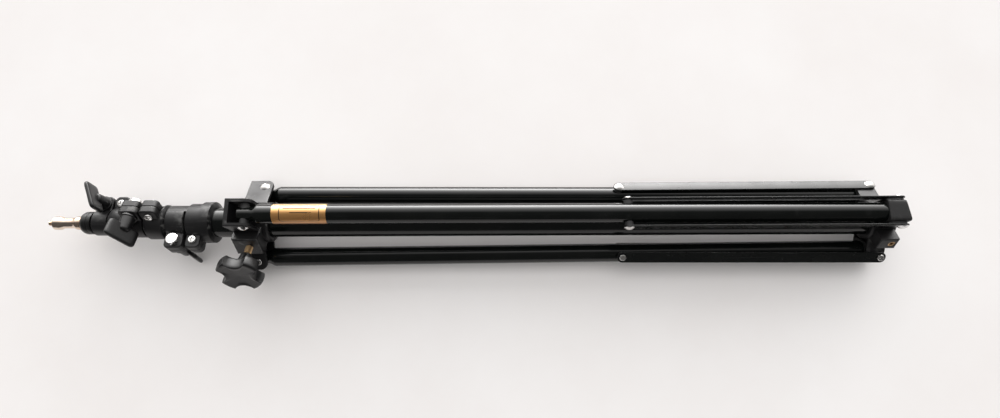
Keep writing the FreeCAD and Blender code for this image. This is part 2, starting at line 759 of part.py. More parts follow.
def make_legs(nodes):
    for letter, angle in leg_angles.items():
        parts = {
            "leg_" + letter + "_tube": leg_tube(),
            "leg_" + letter + "_pivot_bush": leg_pivot_bush(),
            "leg_" + letter + "_brace_spacer": brace_spacer(),
            "leg_" + letter + "_foot": foot(),
            "brace_" + letter + "_head_side": brace(-1),
            "brace_" + letter + "_screw_side": brace(1),
            "brace_" + letter + "_bolt": brace_bolt(),
        }
        for node, shape in parts.items():
            nodes[node] = swing(shape, angle)
    pivots = [swing(leg_pivot_bolt(), angle) for angle in leg_angles.values()]
    pins = [swing(collar_pivot_pins(), angle) for angle in leg_angles.values()]
    nodes["leg_pivot_bolts"] = Part.makeCompound(pivots)
    nodes["collar_pivot_pins"] = Part.makeCompound(pins)


def make_stand():
    nodes = {
        "spigot": spigot(),
        "spigot_screw": stud_screw(),
        "end_cap": end_cap(),
        "column_tube": tube(column_r, column_bore_r, tube_top("column_clamp"), column_end),
        "column_plug": column_plug(),
        "lower_collar": lower_collar(),
        "collar_set_screw": collar_screw(),
        "spider_collar": spider_collar(),
        "spider_liner": spider_liner(),
        "pressure_pad": pressure_pad(),
        "lock_screw": lock_screw(),
        "star_knob": star_knob(),
        "label_plate": label_plate(),
    }
    make_clamps(nodes)
    make_risers(nodes)
    make_legs(nodes)
    return nodes


def row_frame_shift(nodes):
    # The way from the work frame to the row frame: box centred on X and Y, resting on Z = 0.
    box = Part.makeCompound(list(nodes.values())).optimalBoundingBox(False, False)
    return Vector(-(box.XMin + box.XMax) / 2, -(box.YMin + box.YMax) / 2, -box.ZMin)


def place_in_row_frame(nodes, shift):
    for shape in nodes.values():
        shape.translate(shift)


stand = make_stand()
frame_shift = row_frame_shift(stand)
place_in_row_frame(stand, frame_shift)
os.makedirs("parts", exist_ok=True)
for node_name, node_shape in stand.items():
    node_shape.exportStep("parts/" + node_name + ".step")
print(len(stand), "nodes; the column's axis lies at", frame_shift)
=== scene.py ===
import json
import math
import bmesh
import bpy
import numpy as np
from mathutils import Matrix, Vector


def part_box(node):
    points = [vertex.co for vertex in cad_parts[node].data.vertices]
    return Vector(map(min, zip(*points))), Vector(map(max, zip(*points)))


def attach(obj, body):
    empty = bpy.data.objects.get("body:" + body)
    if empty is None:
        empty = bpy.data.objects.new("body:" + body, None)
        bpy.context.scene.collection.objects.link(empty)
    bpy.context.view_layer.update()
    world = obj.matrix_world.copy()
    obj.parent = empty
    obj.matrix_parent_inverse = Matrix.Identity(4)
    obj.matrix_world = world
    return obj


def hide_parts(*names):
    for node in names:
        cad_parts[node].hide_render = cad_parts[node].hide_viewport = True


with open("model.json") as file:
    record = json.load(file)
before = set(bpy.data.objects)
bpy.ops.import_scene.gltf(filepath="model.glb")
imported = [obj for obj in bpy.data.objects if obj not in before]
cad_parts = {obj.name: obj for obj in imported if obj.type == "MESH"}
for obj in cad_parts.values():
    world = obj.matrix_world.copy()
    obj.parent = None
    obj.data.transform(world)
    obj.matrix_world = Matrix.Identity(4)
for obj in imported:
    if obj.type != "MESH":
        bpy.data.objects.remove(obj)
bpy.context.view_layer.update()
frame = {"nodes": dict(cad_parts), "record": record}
record = frame["record"]
slotOf = {part["node"]: part["material_slot"] for part in record["subparts"]}
bodyOf = {node: body for body, members in record["behaviour"]["bodies"].items() for node in members}
joints = {joint["name"]: joint for joint in record["behaviour"]["joints"]}
mm = 0.001
legNames = ("a", "b", "c")
clampNames = ("top_clamp", "middle_clamp", "column_clamp")
alongStand = np.array([1.0, 0.0, 0.0])


def unit(vector):
    return vector / np.linalg.norm(vector)


def placeAt(origin, xWay, zWay):
    # A place is an origin and three directions: a local point goes (x, y, z) along them.
    yWay = unit(np.cross(zWay, xWay))
    ways = np.stack([unit(xWay), yWay, unit(np.cross(unit(xWay), yWay))])
    return {"origin": np.asarray(origin, float), "ways": ways}


def toWorld(points, place):
    return points @ place["ways"] + place["origin"]


def toLocal(points, place):
    return (points - place["origin"]) @ place["ways"].T


def nodePoints(node):
    mesh = frame["nodes"][node].data
    points = np.empty(len(mesh.vertices) * 3, np.float32)
    mesh.vertices.foreach_get("co", points)
    return points.reshape(-1, 3).astype(float)


def localBox(node, place):
    points = toLocal(nodePoints(node), place)
    return points.min(axis=0), points.max(axis=0)


def centre(node):
    low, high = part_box(node)
    return np.array((low + high) / 2)


def spanOnLine(node, place, within):
    # The lowest and highest local z of a node's vertices that lie within a radius of the place's z line.
    points = toLocal(nodePoints(node), place)
    near = points[np.hypot(points[:, 0], points[:, 1]) < within]
    return near[:, 2].min(), near[:, 2].max()


def jointPlace(name, xWay):
    joint = joints[name]
    return placeAt(joint["pos_m"], xWay, np.array(joint["axis"], float))


def turnedGrid(profile, around=72):
    # A profile of (x, r) points carried once round the local x axis: point = (x, r cos t, r sin t).
    turn = np.linspace(0, 2 * math.pi, around + 1)
    x, r = np.asarray(profile, float).T
    return np.stack([np.broadcast_to(x[:, None], (len(x), len(turn))), np.outer(r, np.cos(turn)),
                     np.outer(r, np.sin(turn))], axis=-1)


def upright(grid):
    # Turns a grid drawn round x to stand along z.
    return np.stack([grid[..., 1], grid[..., 2], grid[..., 0]], axis=-1)


def roundedProfile(corners, steps=5):
    # Joins (x, r, radius) corners with straight lines, and rounds each corner by a tangent arc.
    corners = np.asarray(corners, float)
    points = [corners[0, :2]]
    for before, corner, after in zip(corners[:-2], corners[1:-1], corners[2:]):
        here, radius = corner[:2], corner[2]
        back = before[:2] - here
        on = after[:2] - here
        reach = min(radius, 0.49 * np.linalg.norm(back), 0.49 * np.linalg.norm(on))
        if reach < 1e-7:
            points.append(here)
            continue
        share = np.linspace(0, 1, steps)[:, None]
        start = here + unit(back) * reach
        end = here + unit(on) * reach
        points.extend((1 - share) ** 2 * start + 2 * share * (1 - share) * here + share ** 2 * end)
    points.append(corners[-1, :2])
    return np.array(points)


def superRing(halfWidth, halfHeight, power, count=64):
    # A rounded rectangle as a superellipse: each coordinate is the signed cosine or sine to the power 2 / n.
    turn = np.linspace(0, 2 * math.pi, count + 1)
    c, s = np.cos(turn), np.sin(turn)
    return np.stack([halfWidth * np.sign(c) * np.abs(c) ** (2 / power),
                     halfHeight * np.sign(s) * np.abs(s) ** (2 / power)], axis=-1)


def makePiece(name, grids, body, material, replaced=(), sharpAngle=35, uvs=None):
    # One mesh from several grids, each an array of points in rows and columns whose quads join neighbours.
    # Merging doubles closes the seams and poles.
    counts = np.cumsum([0] + [grid.shape[0] * grid.shape[1] for grid in grids])
    quads = []
    for grid, base in zip(grids, counts):
        index = base + np.arange(grid.shape[0] * grid.shape[1]).reshape(grid.shape[:2])
        around = [index[:-1, :-1], index[1:, :-1], index[1:, 1:], index[:-1, 1:]]
        quads.append(np.stack(around, axis=-1).reshape(-1, 4))
    mesh = bpy.data.meshes.new(name)
    points = np.concatenate([grid.reshape(-1, 3) for grid in grids])
    mesh.from_pydata(points.tolist(), [], np.concatenate(quads).tolist())
    if uvs is not None:
        corner = np.empty(len(mesh.loops), np.int32)
        mesh.loops.foreach_get("vertex_index", corner)
        layer = mesh.uv_layers.new(name="alongAndAround")
        flat = np.concatenate([uv.reshape(-1, 2) for uv in uvs])[corner]
        layer.data.foreach_set("uv", flat.astype(np.float32).ravel())
    tidyMesh(mesh)
    return finishPiece(name, mesh, body, material, replaced, sharpAngle)


def tidyMesh(mesh):
    work = bmesh.new()
    work.from_mesh(mesh)
    bmesh.ops.remove_doubles(work, verts=work.verts, dist=0.002 * mm)
    bmesh.ops.dissolve_degenerate(work, edges=work.edges, dist=0.001 * mm)
    bmesh.ops.recalc_face_normals(work, faces=work.faces)
    work.to_mesh(mesh)
    work.free()


def finishPiece(name, mesh, body, material, replaced, sharpAngle):
    mesh.shade_smooth()
    mesh.set_sharp_from_angle(angle=math.radians(sharpAngle))
    piece = bpy.data.objects.new(name, mesh)
    bpy.context.scene.collection.objects.link(piece)
    mesh.materials.append(material)
    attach(piece, body)
    if replaced:
        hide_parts(*replaced)
    return piece


def castCopy(name, node, material, edgeRadius, segments=3, edgeAngle=32):
    # A casting: a merged copy of the plain solid, whose sharp edges the Bevel modifier rounds.
    mesh = frame["nodes"][node].data.copy()
    mesh.materials.clear()
    work = bmesh.new()
    work.from_mesh(mesh)
    bmesh.ops.remove_doubles(work, verts=work.verts, dist=0.01 * mm)
    bmesh.ops.dissolve_limit(work, angle_limit=math.radians(1.0), verts=work.verts, edges=work.edges)
    work.to_mesh(mesh)
    work.free()
    piece = finishPiece(name, mesh, bodyOf[node], material, (node,), edgeAngle)
    bevel = piece.modifiers.new("edges", "BEVEL")
    bevel.width = edgeRadius
    bevel.segments = segments
    bevel.limit_method = "ANGLE"
    bevel.angle_limit = math.radians(edgeAngle)
    bevel.harden_normals = True
    return piece


def newGroup(name, inputs, outputs):
    # A shared effect: a node group with named inputs that puts out masks, heights or colours.
    group = bpy.data.node_groups.new(name, "ShaderNodeTree")
    for label, kind, value in inputs:
        socket = group.interface.new_socket(label, in_out="INPUT", socket_type=kind)
        if value is not None:
            socket.default_value = value
    for label, kind in outputs:
        group.interface.new_socket(label, in_out="OUTPUT", socket_type=kind)
    return group, group.nodes.new("NodeGroupInput"), group.nodes.new("NodeGroupOutput")


def feed(tree, socket, value):
    # Links a socket to another one, or sets it to a plain value.
    if isinstance(value, bpy.types.NodeSocket):
        tree.links.new(value, socket)
    else:
        socket.default_value = value


def addNode(tree, kind, settings=None, **values):
    node = tree.nodes.new("ShaderNode" + kind)
    for label, value in (settings or {}).items():
        setattr(node, label, value)
    for label, value in values.items():
        socket = node.inputs[label.replace("_", " ")]
        feed(tree, socket, value)
    return node


def maths(tree, operation, *values):
    node = tree.nodes.new("ShaderNodeMath")
    node.operation = operation
    for socket, value in zip(node.inputs, values):
        feed(tree, socket, value)
    return node.outputs[0]


def rampOf(tree, value, low, high, start=0.0, end=1.0):
    # Straight rise from start to end while the value goes from low to high, held outside.
    node = tree.nodes.new("ShaderNodeMapRange")
    for label, setting in (("From Min", low), ("From Max", high), ("To Min", start), ("To Max", end)):
        node.inputs[label].default_value = setting
    tree.links.new(value, node.inputs["Value"])
    return node.outputs["Result"]


def mixColours(tree, share, first, second):
    node = tree.nodes.new("ShaderNodeMix")
    node.data_type = "RGBA"
    for socket, value in zip((node.inputs[0], node.inputs[6], node.inputs[7]), (share, first, second)):
        feed(tree, socket, value)
    return node.outputs[2]


def makeEdgeWear():
    # Outer edges from pointiness, broken up by noise: 1 where the finish has rubbed through.
    group, given, out = newGroup("edgeWear", [("Vector", "NodeSocketVector", None),
                                              ("Start", "NodeSocketFloat", 0.53),
                                              ("Patch Scale", "NodeSocketFloat", 120.0)],
                                 [("Mask", "NodeSocketFloat")])
    geometry = addNode(group, "NewGeometry")
    noise = addNode(group, "TexNoise", Vector=given.outputs["Vector"], Scale=given.outputs["Patch Scale"],
                    Detail=4.0)
    pointed = maths(group, "SUBTRACT", geometry.outputs["Pointiness"], given.outputs["Start"])
    edge = maths(group, "MULTIPLY", pointed, 14.0)
    broken = rampOf(group, noise.outputs["Fac"], 0.46, 0.62)
    mask = maths(group, "MULTIPLY", edge, broken)
    clamped = maths(group, "MINIMUM", maths(group, "MAXIMUM", mask, 0.0), 1.0)
    group.links.new(clamped, out.inputs["Mask"])
    return group


def makeCoatGrain():
    # Powder coat or moulded grain: two sizes of noise added as a height, and a slow drift for gloss.
    group, given, out = newGroup("coatGrain", [("Vector", "NodeSocketVector", None),
                                               ("Scale", "NodeSocketFloat", 900.0)],
                                 [("Height", "NodeSocketFloat"), ("Drift", "NodeSocketFloat")])
    fine = addNode(group, "TexNoise", Vector=given.outputs["Vector"], Scale=given.outputs["Scale"],
                   Detail=3.0)
    coarseScale = maths(group, "MULTIPLY", given.outputs["Scale"], 0.22)
    coarse = addNode(group, "TexNoise", Vector=given.outputs["Vector"], Scale=coarseScale, Detail=2.0)
    slowScale = maths(group, "MULTIPLY", given.outputs["Scale"], 0.03)
    slow = addNode(group, "TexNoise", Vector=given.outputs["Vector"], Scale=slowScale, Detail=4.0)
    height = maths(group, "ADD", fine.outputs["Fac"], maths(group, "MULTIPLY", coarse.outputs["Fac"], 1.6))
    group.links.new(height, out.inputs["Height"])
    group.links.new(slow.outputs["Fac"], out.inputs["Drift"])
    return group


def makeDust():
    # Dust that settles on upward faces, in soft patches with a few separate specks.
    group, given, out = newGroup("settledDust", [("Vector", "NodeSocketVector", None),
                                                 ("Amount", "NodeSocketFloat", 0.3)],
                                 [("Mask", "NodeSocketFloat")])
    geometry = addNode(group, "NewGeometry")
    facing = addNode(group, "SeparateXYZ", Vector=geometry.outputs["Normal"])
    up = rampOf(group, facing.outputs["Z"], 0.1, 0.9)
    patches = addNode(group, "TexNoise", Vector=given.outputs["Vector"], Scale=22.0, Detail=6.0,
                      Roughness=0.65)
    specks = addNode(group, "TexVoronoi", Vector=given.outputs["Vector"], Scale=260.0)
    dots = rampOf(group, specks.outputs["Distance"], 0.10, 0.04)
    soft = rampOf(group, patches.outputs["Fac"], 0.42, 0.78)
    both = maths(group, "MAXIMUM", soft, maths(group, "MULTIPLY", dots, 0.8))
    mask = maths(group, "MULTIPLY", maths(group, "MULTIPLY", both, up), given.outputs["Amount"])
    group.links.new(mask, out.inputs["Mask"])
    return group


def makeScuffs():
    # Fine scratches: noise stretched along x, cut to thin lines, in two directions.
    group, given, out = newGroup("fineScuffs", [("Vector", "NodeSocketVector", None),
                                                ("Density", "NodeSocketFloat", 1.0)],
                                 [("Mask", "NodeSocketFloat")])
    lines = []
    for stretch, turn in (((14, 420, 420), 0.03), ((160, 30, 340), 0.5)):
        mapping = addNode(group, "Mapping", Vector=given.outputs["Vector"], Rotation=(turn, turn, turn),
                          Scale=stretch)
        noise = addNode(group, "TexNoise", Vector=mapping.outputs["Vector"], Scale=1.0, Detail=2.0)
        lines.append(rampOf(group, noise.outputs["Fac"], 0.655, 0.70))
    mask = maths(group, "MULTIPLY", maths(group, "MAXIMUM", *lines), given.outputs["Density"])
    group.links.new(mask, out.inputs["Mask"])
    return group


def makeLatheRings():
    # Turning marks: waves and noise that change only along x, as a cutting tool leaves them.
    group, given, out = newGroup("latheRings", [("Vector", "NodeSocketVector", None),
                                                ("Pitch", "NodeSocketFloat", 3000.0)],
                                 [("Height", "NodeSocketFloat"), ("Drift", "NodeSocketFloat")])
    parts = addNode(group, "SeparateXYZ", Vector=given.outputs["Vector"])
    along = addNode(group, "CombineXYZ", X=parts.outputs["X"])
    rings = addNode(group, "TexNoise", Vector=along.outputs["Vector"], Scale=given.outputs["Pitch"],
                    Detail=3.0)
    bands = addNode(group, "TexNoise", Vector=along.outputs["Vector"],
                    Scale=maths(group, "MULTIPLY", given.outputs["Pitch"], 0.12))
    group.links.new(rings.outputs["Fac"], out.inputs["Height"])
    group.links.new(bands.outputs["Fac"], out.inputs["Drift"])
    return group


edgeWear = makeEdgeWear()
coatGrain = makeCoatGrain()
settledDust = makeDust()
fineScuffs = makeScuffs()
latheRings = makeLatheRings()
print("shared effects made")


def newMaterial(name, **settings):
    material = bpy.data.materials.new(name)
    material.use_nodes = True
    tree = material.node_tree
    shader = tree.nodes["Principled BSDF"]
    for label, value in settings.items():
        shader.inputs[label.replace("_", " ")].default_value = value
    where = tree.nodes.new("ShaderNodeTexCoord").outputs["Object"]
    return material, tree, shader, where


def addGroup(tree, group, **values):
    node = tree.nodes.new("ShaderNodeGroup")
    node.node_tree = group
    for label, value in values.items():
        socket = node.inputs[label.replace("_", " ")]
        feed(tree, socket, value)
    return node


def addBump(tree, shader, height, strength, distance):
    bump = addNode(tree, "Bump", Height=height, Strength=strength, Distance=distance)
    tree.links.new(bump.outputs["Normal"], shader.inputs["Normal"])


def coatedMetal(name, settings):
    # Black paint over metal: grain as bump, gloss that drifts, rubbed edges, scuffs and settled dust.
    material, tree, shader, where = newMaterial(name, **settings["shader"])
    grain = addGroup(tree, coatGrain, Vector=where, Scale=settings["grainScale"])
    wear = addGroup(tree, edgeWear, Vector=where, Start=settings["wearStart"])
    scuffs = addGroup(tree, fineScuffs, Vector=where, Density=settings["scuffs"])
    dust = addGroup(tree, settledDust, Vector=where, Amount=settings["dust"])
    paint = mixColours(tree, grain.outputs["Drift"], settings["paint"], settings["paintLight"])
    rubbed = mixColours(tree, wear.outputs["Mask"], paint, settings["rubbed"])
    scuffed = mixColours(tree, scuffs.outputs["Mask"], rubbed, settings["scuffColour"])
    dusty = mixColours(tree, dust.outputs["Mask"], scuffed, settings["dustColour"])
    tree.links.new(dusty, shader.inputs["Base Color"])
    low, high = settings["roughness"]
    gloss = rampOf(tree, grain.outputs["Drift"], 0.3, 0.7, low, high)
    dulled = maths(tree, "ADD", gloss, maths(tree, "MULTIPLY", dust.outputs["Mask"], 0.35))
    tree.links.new(maths(tree, "ADD", dulled, maths(tree, "MULTIPLY", scuffs.outputs["Mask"], 0.12)),
                   shader.inputs["Roughness"])
    addBump(tree, shader, grain.outputs["Height"], settings["bump"], settings["bumpDepth"])
    return material


def barePlated(name, settings):
    # Bare or plated metal: lathe rings or plating grain as bump, tarnish patches in colour and gloss.
    material, tree, shader, where = newMaterial(name, **settings["shader"])
    grain = addGroup(tree, coatGrain, Vector=where, Scale=settings["grainScale"])
    rings = addGroup(tree, latheRings, Vector=where, Pitch=settings["ringPitch"])
    scuffs = addGroup(tree, fineScuffs, Vector=where, Density=0.5)
    tarnish = rampOf(tree, grain.outputs["Drift"], 0.42, 0.66)
    metal = mixColours(tree, tarnish, settings["metal"], settings["tarnish"])
    banded = mixColours(tree, maths(tree, "MULTIPLY", rings.outputs["Drift"], settings["banding"]), metal,
                        settings["tarnish"])
    tree.links.new(banded, shader.inputs["Base Color"])
    low, high = settings["roughness"]
    gloss = rampOf(tree, grain.outputs["Drift"], 0.35, 0.7, low, high)
    tree.links.new(maths(tree, "ADD", gloss, maths(tree, "MULTIPLY", scuffs.outputs["Mask"], 0.2)),
                   shader.inputs["Roughness"])
    height = maths(tree, "ADD", maths(tree, "MULTIPLY", rings.outputs["Height"], settings["ringDepth"]),
                   maths(tree, "MULTIPLY", grain.outputs["Height"], 0.25))
    addBump(tree, shader, height, settings["bump"], 0.05 * mm)
    return material


tubeEnamel = {"shader": {"Specular_IOR_Level": 0.40, "IOR": 1.5},
              "paint": (0.0022, 0.0030, 0.0027, 1), "paintLight": (0.0038, 0.0047, 0.0043, 1),
              "rubbed": (0.06, 0.06, 0.058, 1), "scuffColour": (0.016, 0.017, 0.017, 1),
              "dustColour": (0.24, 0.235, 0.22, 1), "dust": 0.012, "scuffs": 0.25, "grainScale": 700.0,
              "wearStart": 0.56, "roughness": (0.11, 0.19), "bump": 0.08, "bumpDepth": 0.04 * mm}
castingPaint = {"shader": {"Specular_IOR_Level": 0.38, "IOR": 1.48},
                "paint": (0.0065, 0.0063, 0.0070, 1), "paintLight": (0.012, 0.0118, 0.0125, 1),
                "rubbed": (0.09, 0.09, 0.088, 1), "scuffColour": (0.028, 0.028, 0.028, 1),
                "dustColour": (0.26, 0.255, 0.24, 1), "dust": 0.018, "scuffs": 0.3, "grainScale": 1500.0,
                "wearStart": 0.545, "roughness": (0.34, 0.46), "bump": 0.32, "bumpDepth": 0.10 * mm}
barEnamel = dict(tubeEnamel, grainScale=1100.0, roughness=(0.20, 0.32), bump=0.14, dust=0.02, scuffs=0.5,
                 paint=(0.0036, 0.0042, 0.0041, 1), wearStart=0.55)
mouldedPlastic = {"shader": {"Specular_IOR_Level": 0.42, "IOR": 1.47},
                  "paint": (0.0055, 0.0055, 0.0058, 1), "paintLight": (0.0100, 0.0100, 0.0105, 1),
                  "rubbed": (0.045, 0.045, 0.045, 1), "scuffColour": (0.026, 0.026, 0.026, 1),
                  "dustColour": (0.26, 0.255, 0.24, 1), "dust": 0.018, "scuffs": 0.4, "grainScale": 2200.0,
                  "wearStart": 0.55, "roughness": (0.26, 0.38), "bump": 0.22, "bumpDepth": 0.06 * mm}
footRubber = dict(mouldedPlastic, paint=(0.010, 0.010, 0.0105, 1), paintLight=(0.018, 0.018, 0.018, 1),
                  dust=0.05,
                  roughness=(0.50, 0.68), grainScale=1300.0, bump=0.4, bumpDepth=0.10 * mm)
nylonSettings = dict(mouldedPlastic, paint=(0.022, 0.022, 0.023, 1), paintLight=(0.035, 0.035, 0.036, 1),
                     roughness=(0.42, 0.55))
zincPlate = {"shader": {"Metallic": 1.0}, "metal": (0.80, 0.80, 0.80, 1), "tarnish": (0.55, 0.53, 0.50, 1),
             "banding": 0.25,
             "roughness": (0.16, 0.34), "grainScale": 1800.0, "ringPitch": 2600.0, "ringDepth": 0.2,
             "bump": 0.25}
studMetal = dict(zincPlate, metal=(0.82, 0.72, 0.62, 1), tarnish=(0.62, 0.45, 0.32, 1), banding=0.5,
                 ringDepth=0.8,
                 roughness=(0.14, 0.30), bump=0.35)
plainBrass = dict(zincPlate, metal=(0.66, 0.46, 0.25, 1), tarnish=(0.34, 0.22, 0.12, 1),
                  roughness=(0.24, 0.42), bump=0.3)

finishes = {
    "black_tube": coatedMetal("blackTube", tubeEnamel),
    "black_casting": coatedMetal("blackCasting", castingPaint),
    "black_bar": coatedMetal("blackBar", barEnamel),
    "black_plastic": coatedMetal("blackPlastic", mouldedPlastic),
    "black_rubber": coatedMetal("blackRubber", footRubber),
    "nylon": coatedMetal("nylon", nylonSettings),
    "bright_steel": barePlated("brightSteel", zincPlate),
    "spigot_metal": barePlated("spigotMetal", studMetal),
    "brass": barePlated("brass", plainBrass),
}


def goldFoil(name, settings):
    # Printed gold foil: v runs round the leg from 0 to 1 and u along it. Colour is a ramp over v that paints
    # highlight and shade into the foil, light on the upper side and dark on the lower, and the frame line is
    # where the distance to a rounded rectangle is under half the line's width.
    material, tree, shader, where = newMaterial(name, Metallic=0.75, Coat_Weight=0.6, Coat_Roughness=0.08)
    uvs = addNode(tree, "UVMap", {"uv_map": "alongAndAround"})
    parts = addNode(tree, "SeparateXYZ", Vector=uvs.outputs["UV"])
    u, v = parts.outputs["X"], parts.outputs["Y"]
    grain = addGroup(tree, coatGrain, Vector=where, Scale=1600.0)
    # Painted highlight and shade: the foil colour runs from light on the upper side to dark on the lower side
    # round the leg.
    paintedShadeRamp = addNode(tree, "ValToRGB")
    paintedShadeRamp.color_ramp.elements[0].color = settings["upper"]
    paintedShadeRamp.color_ramp.elements[1].color = settings["lower"]
    middle = paintedShadeRamp.color_ramp.elements.new(0.5)
    middle.color = settings["middle"]
    tree.links.new(v, paintedShadeRamp.inputs["Fac"])

    def boxDistance(midU, midV, halfU, halfV, corner):
        du = maths(tree, "SUBTRACT", maths(tree, "ABSOLUTE", maths(tree, "SUBTRACT", u, midU)),
                   halfU - corner)
        dv = maths(tree, "SUBTRACT", maths(tree, "ABSOLUTE", maths(tree, "SUBTRACT", v, midV)),
                   halfV - corner)
        outU, outV = maths(tree, "MAXIMUM", du, 0.0), maths(tree, "MAXIMUM", dv, 0.0)
        length = maths(tree, "SQRT", maths(tree, "ADD", maths(tree, "MULTIPLY", outU, outU),
                                           maths(tree, "MULTIPLY", outV, outV)))
        return maths(tree, "SUBTRACT", length, corner)

    line = settings["line"]
    frameGap = maths(tree, "ABSOLUTE", boxDistance(*settings["frameBox"]))
    ink = rampOf(tree, frameGap, line * 1.15, line * 0.85)
    for bar in settings["bars"]:
        ink = maths(tree, "MAXIMUM", ink, rampOf(tree, boxDistance(*bar), settings["blur"],
                                                 -settings["blur"]))
    worn = rampOf(tree, grain.outputs["Drift"], *settings["worn"])
    inked = mixColours(tree, maths(tree, "MULTIPLY", ink, worn), paintedShadeRamp.outputs["Color"], settings["ink"])
    tree.links.new(inked, shader.inputs["Base Color"])
    tree.links.new(rampOf(tree, grain.outputs["Drift"], 0.3, 0.7, *settings["roughness"]),
                   shader.inputs["Roughness"])
    addBump(tree, shader, grain.outputs["Height"], 0.12, 0.04 * mm)
    return material


# The upper, middle and lower colours are painted highlight and painted shade round the leg, laid over the
# foil's gold.
foilPrint = {"upper": (0.92, 0.70, 0.36, 1), "middle": (0.70, 0.37, 0.13, 1), "lower": (0.38, 0.16, 0.05, 1),
             "ink": (0.025, 0.018, 0.012, 1), "line": 0.0085, "blur": 0.0004,
             "worn": (0.30, 0.36), "roughness": (0.26, 0.42), "frameBox": (0.512, 0.54, 0.366, 0.235, 0.05),
             "bars": [(0.51, 0.395, 0.30, 0.020, 0.010), (0.54, 0.524, 0.20, 0.012, 0.006)]}
finishes["gold_label"] = goldFoil("goldLabel", foilPrint)
print("materials made")


def tubeProfile(start, end, radius, wall, lip):
    # Outside, rolled lip, inside and back, as one closed profile.
    inner = radius - wall
    middle = (start + end) / 2
    return roundedProfile([(middle, radius, 0), (end, radius, lip), (end, inner, lip), (start, inner, lip),
                           (start, radius, lip), (middle, radius, 0)])


def ringsAlong(profile, step):
    # Adds stations to long straight runs, so that no quad is longer than a step.
    gaps = np.hypot(*np.diff(profile, axis=0).T)
    pieces = [np.linspace(first, second, max(1, math.ceil(gap / step)), endpoint=False)
              for first, second, gap in zip(profile[:-1], profile[1:], gaps)]
    return np.concatenate(pieces + [profile[-1:]])


columnTubes = {"around": 96, "lip": 0.5 * mm, "step": 40 * mm,
               "walls": {"column_tube": 1.5 * mm, "lower_riser_tube": 1.25 * mm,
                         "middle_riser_tube": 1.25 * mm, "top_riser_tube": 1.25 * mm}}


def makeColumnTubes():
    for node, wall in columnTubes["walls"].items():
        place = placeAt(centre(node), alongStand, np.array([0.0, 0.0, 1.0]))
        low, high = localBox(node, place)
        profile = tubeProfile(low[0], high[0], high[2], wall, columnTubes["lip"])
        grid = turnedGrid(ringsAlong(profile, columnTubes["step"]), columnTubes["around"])
        makePiece(node + "Finished", [toWorld(grid, place)], bodyOf[node], finishes["black_tube"], (node,),
                  50)


def legPlace(leg):
    # x runs down the leg from its pivot, z is the pivot's own axis, out of the domed side.
    pivot = np.array(joints[f"leg_{leg}_fold"]["pos_m"])
    return placeAt(pivot, centre(f"leg_{leg}_brace_spacer") - pivot,
                   np.array(joints[f"leg_{leg}_fold"]["axis"]))


legTube = {"neckEnd": 6.5 * mm, "swage": 10 * mm, "neckRadius": 7.5 * mm, "wall": 1.2 * mm, "lip": 0.5 * mm,
           "around": 80,
           "step": 40 * mm, "neckDepth": 2 * mm, "neckRound": 0.4 * mm, "endDepth": 6 * mm,
           "endRound": 1 * mm}


def makeLegTube(leg):
    node = f"leg_{leg}_tube"
    place = legPlace(leg)
    low, high = localBox(node, place)
    radius = high[1]
    # The swage is a smooth step: radius = neck + (leg - neck) (3 s^2 - 2 s^3), with s from 0 to 1 along it.
    s = np.linspace(0, 1, 14)
    swage = np.stack([legTube["neckEnd"] + legTube["swage"] * s,
                      legTube["neckRadius"] + (radius - legTube["neckRadius"]) * (3 * s ** 2 - 2 * s ** 3)],
                     axis=-1)
    neck, lip = legTube["neckRadius"], legTube["lip"]
    bore, neckFloor = neck - legTube["wall"], low[0] + legTube["neckDepth"]
    inner, endFloor = radius - legTube["wall"], high[0] - legTube["endDepth"]
    top = roundedProfile([(neckFloor, 0, 0), (neckFloor, bore, legTube["neckRound"]), (low[0], bore, lip),
                          (low[0], neck, lip), (legTube["neckEnd"], neck, 0)])
    bottom = roundedProfile([swage[-1].tolist() + [0], (high[0], radius, lip), (high[0], inner, lip),
                             (endFloor, inner, legTube["endRound"]), (endFloor, 0, 0)])
    profile = np.concatenate([top[:-1], swage[:-1], bottom])
    grid = turnedGrid(ringsAlong(profile, legTube["step"]), legTube["around"])
    makePiece(node + "Finished", [toWorld(grid, place)], bodyOf[node], finishes["black_tube"], (node,), 50)


makeColumnTubes()
for leg in legNames:
    makeLegTube(leg)
print("tubes made")


castEdge = {"clamp": 0.9 * mm, "spider": 1.1 * mm, "collar": 0.8 * mm, "segments": 3}


def makeCastings():
    for clamp in clampNames:
        castCopy(clamp + "Casting", clamp + "_body", finishes["black_casting"], castEdge["clamp"],
                 castEdge["segments"])
    castCopy("spiderCasting", "spider_collar", finishes["black_casting"], castEdge["spider"],
             castEdge["segments"])
    castCopy("lowerCollarCasting", "lower_collar", finishes["black_casting"], castEdge["collar"],
             castEdge["segments"])


makeCastings()
print("castings made")


def domeGrid(radius, height, rim, base, count=48):
    # A turned dome: a short rim wall, then z = height (1 - (r / radius)^2) above it, down to a point.
    share = np.linspace(1, 0, 14)
    dome = np.stack([base + rim + (height - rim) * (1 - share ** 2), radius * share], axis=-1)
    profile = np.concatenate([[(base, 0), (base, radius), (base + rim * 0.5, radius)], dome])
    return upright(turnedGrid(profile, count))


def rimWall(lid, base):
    # Drops a lid's rim straight down to the base, then closes it on the middle line.
    rim, floor = lid[-1, :, :2], np.full(len(lid[-1]), base)
    return np.stack([lid[-1], np.column_stack([rim, floor]), np.column_stack([rim * 0, floor])])


